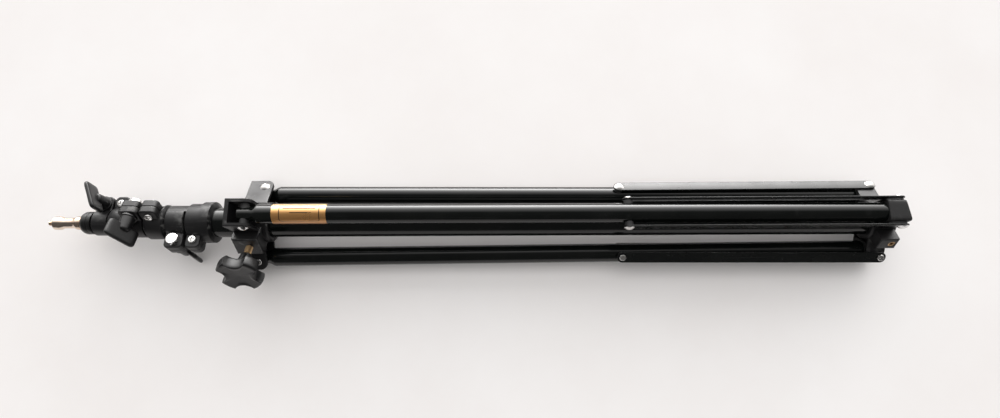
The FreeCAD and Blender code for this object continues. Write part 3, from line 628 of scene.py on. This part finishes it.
def crossHeadGrid(radius, height, base, slotHalf, slotReach, slotDepth, count=96):
    # A low round head with a cross recess: the top falls by a depth wherever the nearer arm's
    # sideways distance is under half the slot's width, and the fall fades over a short slope.
    turn = np.linspace(0, 2 * math.pi, count + 1)
    r = radius * np.concatenate([np.linspace(0, 0.96, 34), [0.985, 1.0]])
    x, y = np.outer(r, np.cos(turn)), np.outer(r, np.sin(turn))
    edgeRound = height * 0.35 * np.clip((r / radius - 0.8) / 0.2, 0, 1) ** 2
    top = base + height - edgeRound[:, None] - 0.12 * height * (r / radius)[:, None] ** 2
    arm = np.minimum(np.maximum(np.abs(x) - slotHalf, np.abs(y) - slotReach),
                     np.maximum(np.abs(y) - slotHalf, np.abs(x) - slotReach))
    z = top - slotDepth * np.clip(0.5 - arm / (0.35 * slotHalf), 0, 1)
    lid = np.stack([x, y, z], axis=-1)
    return [lid, rimWall(lid, base)]


def hexGrid(acrossFlats, height, base, chamfer, dish=0.0, count=96):
    # A hexagon head: the outline's radius is a / cos(angle from the nearest flat), and the top is
    # turned down where a cone of 30 degrees cuts the corners.
    turn = np.linspace(0, 2 * math.pi, count + 1)
    fromFlat = (turn + math.pi / 6) % (math.pi / 3) - math.pi / 6
    outline = acrossFlats / 2 / np.cos(fromFlat)
    share = np.concatenate([np.linspace(0, 0.8, 9), np.linspace(0.82, 1, 10)])
    radius = np.outer(share, outline)
    coneStart = acrossFlats / 2 * 0.93
    z = (base + height - np.clip((radius - coneStart) * chamfer, 0, height)
         - dish * np.clip(1 - radius / coneStart * 1.15, 0, 1))
    lid = np.stack([radius * np.cos(turn), radius * np.sin(turn), z], axis=-1)
    return [lid, rimWall(lid, base)]


def shankGrid(radius, start, end, around=40):
    profile = roundedProfile([(start, 0, 0), (start, radius, 0.4 * mm), (end, radius, 0.4 * mm), (end, 0, 0)])
    return upright(turnedGrid(profile, around))


def threadGrid(radius, start, end, pitch, depth, around=48, perTurn=16):
    # A screw thread on z: the radius falls by a rounded wave of z / pitch minus angle / 2 pi, and the wave
    # fades at both ends.
    turn = np.linspace(0, 2 * math.pi, around + 1)
    z = np.linspace(start, end, max(8, math.ceil((end - start) / pitch * perTurn)))
    wave = 0.5 - 0.5 * np.cos(2 * math.pi * (z[:, None] / pitch - turn[None, :] / (2 * math.pi)))
    fade = np.clip(np.minimum(z - start, end - z) / pitch, 0, 1)[:, None]
    r = radius - depth * (wave ** 0.8 * fade + (1 - fade) * 0.8)
    body = np.stack([r * np.cos(turn), r * np.sin(turn), np.broadcast_to(z[:, None], r.shape)], axis=-1)
    caps = [np.stack([body[i], np.column_stack([body[i, :, :2] * 0, body[i, :, 2]])]) for i in (0, -1)]
    return [body] + caps


def flipped(grids):
    # The same head on the other end of its bolt.
    return [grid * np.array([1.0, 1.0, -1.0]) for grid in grids]


def turnedOver(place):
    # The same place from its other end: y and z turn round, x stays.
    return dict(place, ways=place["ways"] * np.array([[1.0], [-1.0], [-1.0]]))


crossBolt = {"shank": 3.0 * mm, "dome": 6.0 * mm, "domeHeight": 3.3 * mm, "rim": 0.5 * mm,
             "screw": 3.8 * mm, "screwHeight": 1.8 * mm,
             "slotHalf": 0.5 * mm, "slotReach": 2.3 * mm, "slotDepth": 1.0 * mm, "near": 7 * mm,
             "overlap": 1 * mm, "spacerGap": 0.2 * mm, "pinInside": 13.1 * mm}


def crossBoltEnds(low, high, innerLow, innerHigh):
    # Both ends of a bolt that runs from low to high: a dome on top and a cross-recessed end below.
    domeBase = high - crossBolt["domeHeight"]
    screwBase = low + crossBolt["screwHeight"]
    screw = crossHeadGrid(crossBolt["screw"], crossBolt["screwHeight"], -screwBase, crossBolt["slotHalf"],
                          crossBolt["slotReach"],
                          crossBolt["slotDepth"])
    return [domeGrid(crossBolt["dome"], crossBolt["domeHeight"], crossBolt["rim"], domeBase),
            shankGrid(crossBolt["shank"], innerHigh, domeBase + crossBolt["overlap"]),
            shankGrid(crossBolt["shank"], screwBase - crossBolt["overlap"], innerLow),
            *flipped(screw)]


def makeCrossBolts():
    pivotGrids, pinGrids = [], []
    inside = crossBolt["pinInside"]
    for leg in legNames:
        place = legPlace(leg)
        low, high = spanOnLine("leg_pivot_bolts", place, crossBolt["near"])
        pivotGrids += [toWorld(grid, place) for grid in crossBoltEnds(low, high, 0.0, 0.0)]
        top = placeAt(centre(f"leg_{leg}_brace_spacer"), alongStand, place["ways"][2])
        low, high = spanOnLine(f"brace_{leg}_bolt", top, crossBolt["near"])
        spacerHalf = localBox(f"leg_{leg}_brace_spacer", top)[1][2] + crossBolt["spacerGap"]
        grids = [toWorld(grid, top) for grid in crossBoltEnds(low, high, -spacerHalf, spacerHalf)]
        makePiece(f"brace_{leg}_bolt_Finished", grids, f"brace_{leg}", finishes["bright_steel"],
                  (f"brace_{leg}_bolt",))
        foot = placeAt(joints[f"brace_{leg}_fold"]["pos_m"], alongStand, place["ways"][2])
        low, high = spanOnLine("collar_pivot_pins", foot, crossBolt["near"])
        pinGrids += [toWorld(grid, foot) for grid in crossBoltEnds(low, high, -inside, inside)]
    makePiece("legPivotBolts", pivotGrids, "spider", finishes["bright_steel"], ("leg_pivot_bolts",))
    makePiece("collarPivotPins", pinGrids, "column", finishes["bright_steel"], ("collar_pivot_pins",))


clampHardware = {"boltRadius": 4.0 * mm, "acrossFlats": 13.0 * mm, "headHeight": 5.3 * mm, "chamfer": 0.62,
                 "screwRadius": 2.5 * mm,
                 "screwHead": 4.7 * mm, "screwHeadHeight": 2.8 * mm, "slotHalf": 0.6 * mm,
                 "slotReach": 2.7 * mm, "slotDepth": 1.6 * mm,
                 "nutFlats": 8.0 * mm, "nutHeight": 4.0 * mm, "threadEnd": 0.8 * mm,
                 "nutChamfer": 0.55, "headDish": 0.35 * mm, "overlap": 1 * mm, "nearBolt": 9 * mm,
                 "nearScrew": 6 * mm}


def makeClampHardware(clamp):
    size = clampHardware
    knob = jointPlace(clamp + "_knob_turn", alongStand)
    head = turnedOver(knob)
    low, high = spanOnLine(clamp + "_hex_bolt", head, size["nearBolt"])
    base = high - size["headHeight"]
    grids = hexGrid(size["acrossFlats"], size["headHeight"], base, size["chamfer"], size["headDish"])
    grids.append(shankGrid(size["boltRadius"], low, base + size["overlap"]))
    makePiece(clamp + "HexBolt", [toWorld(grid, head) for grid in grids], bodyOf[clamp + "_hex_bolt"],
              finishes["bright_steel"],
              (clamp + "_hex_bolt",), 25)
    screwX = centre(clamp + "_fixed_screw")[0]
    shifted = dict(knob, origin=knob["origin"] + alongStand * (screwX - knob["origin"][0]))
    low, high = spanOnLine(clamp + "_fixed_screw", shifted, size["nearScrew"])
    if high < -low:  # the head is on the side away from the knob
        shifted = turnedOver(shifted)
        low, high = -high, -low
    grids = crossHeadGrid(size["screwHead"], size["screwHeadHeight"], -low - size["screwHeadHeight"],
                          size["slotHalf"],
                          size["slotReach"], size["slotDepth"])
    grids = flipped(grids)
    grids += hexGrid(size["nutFlats"], size["nutHeight"], high - size["threadEnd"] - size["nutHeight"],
                     size["nutChamfer"])
    grids.append(shankGrid(size["screwRadius"], low + size["screwHeadHeight"] - size["overlap"], high))
    makePiece(clamp + "FixedScrew", [toWorld(grid, shifted) for grid in grids],
              bodyOf[clamp + "_fixed_screw"],
              finishes["bright_steel"], (clamp + "_fixed_screw",), 25)


lockScrew = {"radius": 4.0 * mm, "pitch": 1.25 * mm, "depth": 0.55 * mm, "near": 8 * mm}


def makeLockScrew():
    place = jointPlace("lock_knob_turn", alongStand)
    low, high = spanOnLine("lock_screw", place, lockScrew["near"])
    grids = threadGrid(lockScrew["radius"], low, high, lockScrew["pitch"], lockScrew["depth"])
    makePiece("lockScrewThreaded", [toWorld(grid, place) for grid in grids], "lock_knob", finishes["brass"],
              ("lock_screw",))


makeCrossBolts()
for clamp in clampNames:
    makeClampHardware(clamp)
makeLockScrew()
print("bolts and screws made")


tKnob = {"flangeRadius": 9.0 * mm, "flange": 2.6 * mm, "hubRoot": 7.9 * mm, "hubTop": 6.2 * mm,
         "hubLength": 20.0 * mm,
         "hubRound": 5.0 * mm, "insertRadius": 5.5 * mm, "insertLength": 14.0 * mm, "wingSetback": 11.4 * mm,
         "wingHalfThickness": 2.7 * mm, "outlinePower": 7.0, "edgePower": 2.6, "waist": 0.06,
         "flatShare": 0.86, "swellPower": 9}


def wingGrid(halfLength, halfHeight, middleHeight, rows=40, columns=72):
    # A flat wing: a superellipse outline in x and z, whose thickness in y swells with
    # (1 - rho^s)^(1/e) from the outline (rho = 1) to the middle, where s is the swell power and e the edge
    # power. The ends are a little thicker than the waist.
    size = tKnob
    outline = superRing(halfLength, halfHeight, size["outlinePower"], columns)
    flat = size["flatShare"]
    fall = (1 - flat) * (1 - np.linspace(0, 1, rows // 2)[1:]) ** 2
    rho = np.concatenate([np.linspace(0, flat, rows // 2), 1 - fall])
    x = np.outer(rho, outline[:, 0])
    z = middleHeight + np.outer(rho, outline[:, 1])
    swell = np.clip(1 - rho ** size["swellPower"], 0, 1)[:, None] ** (1 / size["edgePower"])
    shape = 1 - size["waist"] * np.cos(np.clip(x / halfLength, -1, 1) * math.pi / 2) ** 2
    y = size["wingHalfThickness"] * swell * shape
    return [np.stack([x, y, z], axis=-1), np.stack([x, -y, z], axis=-1)]


def longWay(node, place):
    # The direction across the place's z in which the node reaches furthest, from its points' spread.
    points = toLocal(nodePoints(node), place)[:, :2]
    values, vectors = np.linalg.eigh(points.T @ points)
    way = vectors[:, np.argmax(values)]
    return way[0] * place["ways"][0] + way[1] * place["ways"][1]


def makeTKnob(clamp):
    size = tKnob
    rough = jointPlace(clamp + "_knob_turn", alongStand)
    place = placeAt(rough["origin"], longWay(clamp + "_t_knob", rough), rough["ways"][2])
    low, high = localBox(clamp + "_t_knob", place)
    base = low[2]
    insert, insertEnd = size["insertRadius"], base + size["insertLength"]
    flangeEnd, hubEnd = base + size["flange"], base + size["hubLength"]
    hub = roundedProfile([(insertEnd, 0, 0), (insertEnd, insert, 0), (base, insert, 0.4 * mm),
                          (base, size["flangeRadius"], 0.8 * mm), (flangeEnd, size["flangeRadius"], 0.9 * mm),
                          (flangeEnd, size["hubRoot"], 1.6 * mm), (hubEnd, size["hubTop"], size["hubRound"]),
                          (hubEnd, 0, 0)], 7)
    wingHalf = (high[2] - base - size["wingSetback"]) / 2
    grids = [upright(turnedGrid(hub, 64))] + wingGrid(high[0], wingHalf, high[2] - wingHalf)
    makePiece(clamp + "TKnob", [toWorld(grid, place) for grid in grids], clamp + "_knob",
              finishes["black_plastic"],
              (clamp + "_t_knob",), 50)


starKnob = {"lobes": 4, "thickness": 14.0 * mm, "bite": 9.0 * mm, "biteRadius": 13.0 * mm, "blend": 0.7 * mm,
            "edge": 2.6 * mm, "dish": 1.6 * mm, "hubRoot": 9.5 * mm, "hubTop": 6.25 * mm,
            "hubLength": 18.0 * mm,
            "rimShare": 0.985, "sidePower": 0.55, "dishShare": 0.82, "dishPower": 0.6, "roundTo": 0.25,
            "lobedOver": 0.5,
            "boreRadius": 4.2 * mm, "boreDepth": 8 * mm}


def makeStarKnob():
    size = starKnob
    rough = jointPlace("lock_knob_turn", alongStand)
    points = toLocal(nodePoints("star_knob"), rough)
    radius = np.hypot(points[:, 0], points[:, 1])
    angle = np.arctan2(points[:, 1], points[:, 0])
    outer = radius > radius.max() * size["rimShare"]
    lobeTurn = np.angle(np.sum(np.exp(1j * size["lobes"] * angle[outer]))) / size["lobes"]
    top = points[:, 2].max()
    half = radius.max()
    turn = np.linspace(0, 2 * math.pi, 193)
    # Outline: a circle R with a round bite of radius c between each two lobes, centred at d = R + c - bite.
    # Along a ray at angle a from a bite's own, the bite's rim is at d cos a - sqrt(c^2 - d^2 sin^2 a), and
    # the outline is the smooth minimum -k log(exp(-R/k) + exp(-rim/k)) of the two.
    away = half + size["biteRadius"] - size["bite"]
    step = 2 * math.pi / size["lobes"]
    fromBite = (turn - lobeTurn) % step - step / 2
    reach = size["biteRadius"] ** 2 - (away * np.sin(fromBite)) ** 2
    rim = np.where(reach > 0, away * np.cos(fromBite) - np.sqrt(np.maximum(reach, 0)), 2 * half)
    blend = size["blend"]
    outline = half - blend * np.log(1 + np.exp((half - rim) / blend))
    # Section: (share of the outline, height) from the hub's root, round the edge by a rounded bulge, to the
    # dish.
    edge = np.linspace(-math.pi / 2, math.pi / 2, 17)
    bottom, high = top - size["thickness"], top
    edgeShare = 1 - size["edge"] / half
    bulge = np.sign(np.sin(edge)) * np.abs(np.sin(edge)) ** size["sidePower"]
    side = np.stack([edgeShare + (1 - edgeShare) * np.cos(edge),
                     (bottom + high) / 2 + (high - bottom) / 2 * bulge], axis=-1)
    inward = np.linspace(edgeShare, 0, 22)[1:]
    hollow = np.clip((size["dishShare"] - inward) / size["dishShare"], 0, 1) ** size["dishPower"]
    face = np.stack([inward, high - size["dish"] * hollow], axis=-1)
    under = np.array([[size["hubRoot"] / half * 0.9, bottom + 0.2 * mm]])
    section = np.concatenate([under, side, face])
    spread = np.clip((section[:, 0] - size["roundTo"]) / size["lobedOver"], 0, 1)[:, None]
    r = section[:, :1] * (half * (1 - spread) + outline[None, :] * spread)
    grid = np.stack([r * np.cos(turn), r * np.sin(turn), np.broadcast_to(section[:, 1:], r.shape)], axis=-1)
    hubStart = bottom + 1 * mm - size["hubLength"]
    hub = roundedProfile([(hubStart + size["boreDepth"], size["boreRadius"], 0),
                          (hubStart, size["boreRadius"], 0.3 * mm), (hubStart, size["hubTop"], 1.0 * mm),
                          (bottom - 2.5 * mm, size["hubRoot"] * 0.93, 3 * mm),
                          (bottom + 0.6 * mm, size["hubRoot"] * 1.25, 0)], 6)
    grids = [grid, upright(turnedGrid(hub, 64))]
    makePiece("starKnobMoulded", [toWorld(part, rough) for part in grids], "lock_knob",
              finishes["black_plastic"], ("star_knob",), 50)


for clamp in clampNames:
    makeTKnob(clamp)
makeStarKnob()
print("knobs made")


braceBar = {"edge": 0.6 * mm}


def barGrid(length, halfWidth, low, high, edge, endSteps=20, alongSteps=12):
    # A flat bar with round ends: the outline is a stadium, its rim a quarter round, and the faces close
    # on the middle line.
    arc = np.linspace(-math.pi / 2, math.pi / 2, endSteps)
    right = np.stack([length + halfWidth * np.cos(arc), halfWidth * np.sin(arc)], axis=-1)
    left = np.array([length, 0.0]) - right
    straight = np.linspace(0, 1, alongSteps)[1:-1, None]
    topEdge = right[-1] + (left[0] - right[-1]) * straight
    lowEdge = left[-1] + (right[0] - left[-1]) * straight
    outline = np.concatenate([right, topEdge, left, lowEdge, right[:1]])
    spine = np.stack([np.clip(outline[:, 0], 0, length), np.zeros(len(outline))], axis=-1)
    quarter = np.linspace(0, math.pi / 2, 5)
    rimOut = edge * (1 - np.cos(quarter))
    rimUp = edge * (1 - np.sin(quarter))
    rows = [np.column_stack([spine, np.full(len(outline), low)])]
    for inset, rise in zip(rimOut[::-1], rimUp[::-1]):
        rows.append(np.column_stack([outline + (spine - outline) * inset / halfWidth,
                                     np.full(len(outline), low + rise)]))
    for inset, rise in zip(rimOut, rimUp):
        rows.append(np.column_stack([outline + (spine - outline) * inset / halfWidth,
                                     np.full(len(outline), high - rise)]))
    rows.append(np.column_stack([spine, np.full(len(outline), high)]))
    return np.stack(rows)


def makeBraces(leg):
    pivot = np.array(joints[f"brace_{leg}_fold"]["pos_m"])
    crossWay = np.array(joints[f"leg_{leg}_fold"]["axis"])
    boltMid = centre(f"leg_{leg}_brace_spacer")
    place = placeAt(pivot, boltMid - pivot, crossWay)
    for side in ("head_side", "screw_side"):
        node = f"brace_{leg}_{side}"
        low, high = localBox(node, place)
        halfWidth = (high[1] - low[1]) / 2
        length = high[0] - halfWidth
        grid = barGrid(length, halfWidth, low[2], high[2], braceBar["edge"])
        makePiece(node + "_Finished", [toWorld(grid, place)], bodyOf[node], finishes["black_bar"], (node,),
                  50)


for leg in legNames:
    makeBraces(leg)
print("braces made")


footShape = {"power": 8.0, "round": 1.3 * mm, "band": 4.0 * mm, "bandHeight": 0.35 * mm, "bandEdge": 0.5 * mm,
             "slant": 3.7 * mm, "tubeRadius": 11.05 * mm, "mouthDepth": 4.0 * mm, "around": 96}


def makeFoot(leg):
    # A rubber block on the leg's end: rounded square rings carried along the leg. The last ring leans with
    # the slant, and the rings near each end shrink by a quarter circle to round the corners. A band stands
    # out at the tube's side by height / (1 + exp((x - band) / edge)).
    node = f"leg_{leg}_foot"
    place = legPlace(leg)
    low, high = localBox(node, place)
    half = (high[1] - low[1]) / 2
    middleY, middleZ = (high[1] + low[1]) / 2, (high[2] + low[2]) / 2
    ring = superRing(half, half, footShape["power"], footShape["around"])
    quarter = np.linspace(0, math.pi / 2, 7)
    roundShare = footShape["round"]
    startX = low[0] + roundShare * (1 - np.cos(quarter))
    startSize = half - roundShare * (1 - np.sin(quarter))
    length = high[0] - low[0]
    body = np.linspace(roundShare, length - roundShare, 60)[1:-1]
    stations = np.concatenate([startX, low[0] + body, high[0] - roundShare * (1 - np.cos(quarter[::-1]))])
    sizes = np.concatenate([startSize, np.full(len(body), half), startSize[::-1]])
    fromBand = (stations - low[0] - footShape["band"]) / footShape["bandEdge"]
    sizes = sizes + footShape["bandHeight"] / (1 + np.exp(fromBand))
    share = (stations - low[0]) / length
    leanBack = footShape["slant"] * share[:, None] ** 2 * (0.5 - 0.5 * ring[None, :, 1] / half)
    y = np.outer(sizes / half, ring[:, 0])
    z = np.outer(sizes / half, ring[:, 1])
    x = stations[:, None] - leanBack
    side = np.stack([x, y + middleY, z + middleZ], axis=-1)
    turn = np.linspace(0, 2 * math.pi, footShape["around"] + 1)
    circle = footShape["tubeRadius"] * np.stack([np.cos(turn), np.sin(turn)], axis=-1)
    mouth = np.column_stack([np.full(len(circle), low[0]), circle[:, 0] + middleY, circle[:, 1] + middleZ])
    inside = mouth + np.array([footShape["mouthDepth"], 0, 0])
    endMiddle = side[-1].mean(axis=0)
    ends = [np.stack([endMiddle + (side[-1] - endMiddle) * share for share in (1.0, 0.9, 0.6, 0.3, 0.0)])]
    start = np.stack([side[0], side[0] + (mouth - side[0]) * 0.9, mouth, inside])
    makePiece(node + "_Finished", [toWorld(grid, place) for grid in [side, start] + ends], bodyOf[node],
              finishes["black_rubber"],
              (node,), 50)


for leg in legNames:
    makeFoot(leg)
print("feet made")


stud = {"threadRadius": 3.175 * mm, "pitch": 1.27 * mm, "threadDepth": 0.62 * mm, "threadLength": 7.0 * mm,
        "ring": 7.2 * mm,
        "taper": 3.4 * mm, "waist": 12.6 * mm, "waistRadius": 6.3 * mm, "radius": 7.95 * mm,
        "base": 11.4 * mm}


def makeStud():
    size = stud
    low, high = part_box("spigot")
    axis = (low + high) / 2
    place = placeAt((low[0], axis[1], axis[2]), alongStand, np.array([0.0, 0.0, 1.0]))
    upPlace = placeAt((low[0], axis[1], axis[2]), np.array([0.0, 1.0, 0.0]), alongStand)
    thread = threadGrid(size["threadRadius"], 0.0, size["threadLength"] + 0.5 * mm, size["pitch"],
                        size["threadDepth"])
    ring = size["threadLength"]
    ringEnd = ring + size["ring"]
    waist = ringEnd + size["taper"]
    waistEnd = waist + size["waist"]
    base = waistEnd + size["taper"]
    profile = roundedProfile([(ring, 0, 0), (ring, size["radius"], 0.9 * mm),
                              (ringEnd, size["radius"], 1.2 * mm),
                              (waist, size["waistRadius"], 1.6 * mm),
                              (waistEnd, size["waistRadius"], 1.6 * mm),
                              (base, size["radius"], 1.2 * mm),
                              (base + size["base"], size["radius"], 0.5 * mm),
                              (base + size["base"], 0, 0)], 7)
    grids = [toWorld(turnedGrid(profile, 80), place)] + [toWorld(grid, upPlace) for grid in thread]
    makePiece("studTurned", grids, "top_riser", finishes["spigot_metal"], ("spigot",), 40)


endCap = {"shoulder": 4.5 * mm, "grooveDepth": 0.5 * mm, "lip": 1.0 * mm, "mouthRadius": 7.9 * mm,
          "faceRadius": 8.6 * mm,
          "mouthDepth": 0.9 * mm, "skirtRadius": 10.1 * mm, "skirtDepth": 6 * mm, "topShare": 0.8,
          "shoulderShare": 0.28}


def makeCap():
    low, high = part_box("end_cap")
    axis = (low + high) / 2
    place = placeAt((low[0], axis[1], axis[2]), alongStand, np.array([0.0, 0.0, 1.0]))
    radius = (high[2] - low[2]) / 2
    length = high[0] - low[0]
    grooves = [(length * share, radius - depth, 0.25 * mm) for share, depth in
               ((0.62, 0.0), (0.65, endCap["grooveDepth"]), (0.70, endCap["grooveDepth"]), (0.73, 0.0))]
    profile = roundedProfile([(endCap["mouthDepth"], endCap["mouthRadius"], 0),
                              (0, endCap["faceRadius"], 0.5 * mm),
                              (0, radius * endCap["topShare"], 1.0 * mm),
                              (endCap["shoulderShare"] * length, radius, endCap["shoulder"]), *grooves,
                              (length, radius, endCap["lip"]), (length, endCap["skirtRadius"], 0.4 * mm),
                              (length - endCap["skirtDepth"], endCap["skirtRadius"], 0)], 7)
    makePiece("endCapMoulded", [toWorld(turnedGrid(profile, 80), place)], "top_riser",
              finishes["black_plastic"], ("end_cap",), 40)


labelSheet = {"reach": 105, "thickness": 0.2 * mm, "aroundSteps": 61, "alongSteps": 25}


def makeLabel():
    # A patch of a cylinder a little over the leg's radius: u along the leg, v round it, with a thin edge.
    place = legPlace("b")
    low, high = localBox("label_plate", place)
    radius = high[1]
    reach = math.radians(labelSheet["reach"])
    turn = np.linspace(-reach, reach, labelSheet["aroundSteps"])
    u = np.linspace(0, 1, labelSheet["alongSteps"])
    x = low[0] + (high[0] - low[0]) * u

    def shell(r):
        size = (len(x), len(turn))
        return np.stack([np.broadcast_to(x[:, None], size), np.broadcast_to(r * np.cos(turn), size),
                         np.broadcast_to(r * np.sin(turn), size)], axis=-1)

    outer, inner = shell(radius), shell(radius - labelSheet["thickness"])
    uv = np.stack(np.meshgrid(u, np.linspace(0, 1, len(turn)), indexing="ij"), axis=-1)
    edges = [np.stack([outer[0], inner[0]]), np.stack([outer[-1], inner[-1]]),
             np.stack([outer[:, 0], inner[:, 0]]),
             np.stack([outer[:, -1], inner[:, -1]])]
    edgeUvs = [np.stack([uv[0], uv[0]]), np.stack([uv[-1], uv[-1]]), np.stack([uv[:, 0], uv[:, 0]]),
               np.stack([uv[:, -1], uv[:, -1]])]
    makePiece("legLabel", [toWorld(grid, place) for grid in [outer, inner] + edges], "leg_b",
              finishes["gold_label"],
              ("label_plate",), 50, [uv, uv] + edgeUvs)


makeStud()
makeCap()
makeLabel()
print("stud, cap and label made")


# The other solids keep their shape and take their finish.
for node, shown in frame["nodes"].items():
    shown.data.materials.clear()
    shown.data.materials.append(finishes[slotOf[node]])


tableTop = {"half": 4.0, "warm": (0.86, 0.835, 0.825, 1), "cool": (0.90, 0.885, 0.88, 1)}


def makeTable():
    material, tree, shader, where = newMaterial("paleTable", Specular_IOR_Level=0.25)
    cloud = addNode(tree, "TexNoise", Vector=where, Scale=3.0, Detail=5.0, Roughness=0.6)
    grain = addNode(tree, "TexNoise", Vector=where, Scale=900.0, Detail=3.0)
    colour = mixColours(tree, rampOf(tree, cloud.outputs["Fac"], 0.35, 0.65), tableTop["warm"],
                        tableTop["cool"])
    tree.links.new(colour, shader.inputs["Base Color"])
    tree.links.new(rampOf(tree, cloud.outputs["Fac"], 0.3, 0.7, 0.5, 0.62), shader.inputs["Roughness"])
    addBump(tree, shader, grain.outputs["Fac"], 0.12, 0.1 * mm)
    half = tableTop["half"]
    mesh = bpy.data.meshes.new("tableTop")
    mesh.from_pydata([(-half, -half, 0), (half, -half, 0), (half, half, 0), (-half, half, 0)], [],
                     [(0, 1, 2, 3)])
    mesh.materials.append(material)
    table = bpy.data.objects.new("tableTop", mesh)
    bpy.context.scene.collection.objects.link(table)


room = {"shine": {"window": 18.0, "wall": 4.6, "over": 0.0, "dim": 0.10},
        "fill": {"window": 0.0, "wall": 2.48, "over": 1.48, "dim": 0.11},
        "windowNarrow": 8.0, "wallWide": 1.2, "overNarrow": 4.0, "tint": (1.0, 0.985, 0.975),
        "backdrop": (0.90, 0.885, 0.88, 1)}


def makeRoom():
    # A soft room: light = window y^narrow + wall y^wide + over z^n + dim, where y is how far a direction
    # points to the far side and z how far it points up. Reflections see a dark room with a bright window,
    # everything else an evener one with light from above, and the eye sees a plain pale backdrop.
    world = bpy.data.worlds.new("room")
    world.use_nodes = True
    tree = world.node_tree
    light = tree.nodes["Background"]
    direction = addNode(tree, "SeparateXYZ", Vector=tree.nodes.new("ShaderNodeTexCoord").outputs["Generated"])
    toWindow = maths(tree, "MAXIMUM", direction.outputs["Y"], 0.0)
    narrow = maths(tree, "POWER", toWindow, room["windowNarrow"])
    wide = maths(tree, "POWER", toWindow, room["wallWide"])
    above = maths(tree, "POWER", maths(tree, "MAXIMUM", direction.outputs["Z"], 0.0), room["overNarrow"])

    def strengthOf(share):
        window = maths(tree, "MULTIPLY", narrow, share["window"])
        wall = maths(tree, "MULTIPLY", wide, share["wall"])
        over = maths(tree, "MULTIPLY", above, share["over"])
        return maths(tree, "ADD", maths(tree, "ADD", window, wall), maths(tree, "ADD", over, share["dim"]))

    path = tree.nodes.new("ShaderNodeLightPath")
    fill = strengthOf(room["fill"])
    more = maths(tree, "SUBTRACT", strengthOf(room["shine"]), fill)
    strength = maths(tree, "ADD", fill, maths(tree, "MULTIPLY", more, path.outputs["Is Glossy Ray"]))
    tree.links.new(strength, light.inputs["Strength"])
    light.inputs["Color"].default_value = (*room["tint"], 1)
    backdrop = addNode(tree, "Background", Color=room["backdrop"])
    seen = tree.nodes.new("ShaderNodeMixShader")
    tree.links.new(path.outputs["Is Camera Ray"], seen.inputs[0])
    tree.links.new(light.outputs[0], seen.inputs[1])
    tree.links.new(backdrop.outputs[0], seen.inputs[2])
    tree.links.new(seen.outputs[0], tree.nodes["World Output"].inputs["Surface"])
    bpy.context.scene.world = world


viewFrom = {"fromTip": 0.5327, "beside": -0.1521, "above": 0.7150, "down": 76.87, "roll": -0.28,
            "lens": 22.226}


def makeCamera():
    # The camera stands over the stand's near side, a little left of its middle, and looks steeply down.
    low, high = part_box("spigot")
    axis = (low + high) / 2
    data = bpy.data.cameras.new("camera")
    data.lens = viewFrom["lens"]
    data.sensor_width = 36.0
    data.clip_start = 0.01
    camera = bpy.data.objects.new("camera", data)
    camera.location = (low[0] + viewFrom["fromTip"], axis[1] + viewFrom["beside"],
                       axis[2] + viewFrom["above"])
    tilt = Matrix.Rotation(math.radians(90 - viewFrom["down"]), 3, "X")
    roll = Matrix.Rotation(math.radians(viewFrom["roll"]), 3, "Z")
    camera.rotation_euler = (tilt @ roll).to_euler()
    bpy.context.scene.collection.objects.link(camera)
    bpy.context.scene.camera = camera


makeTable()
makeRoom()
makeCamera()
bpy.context.scene.view_settings.view_transform = "Standard"
print("stage made")
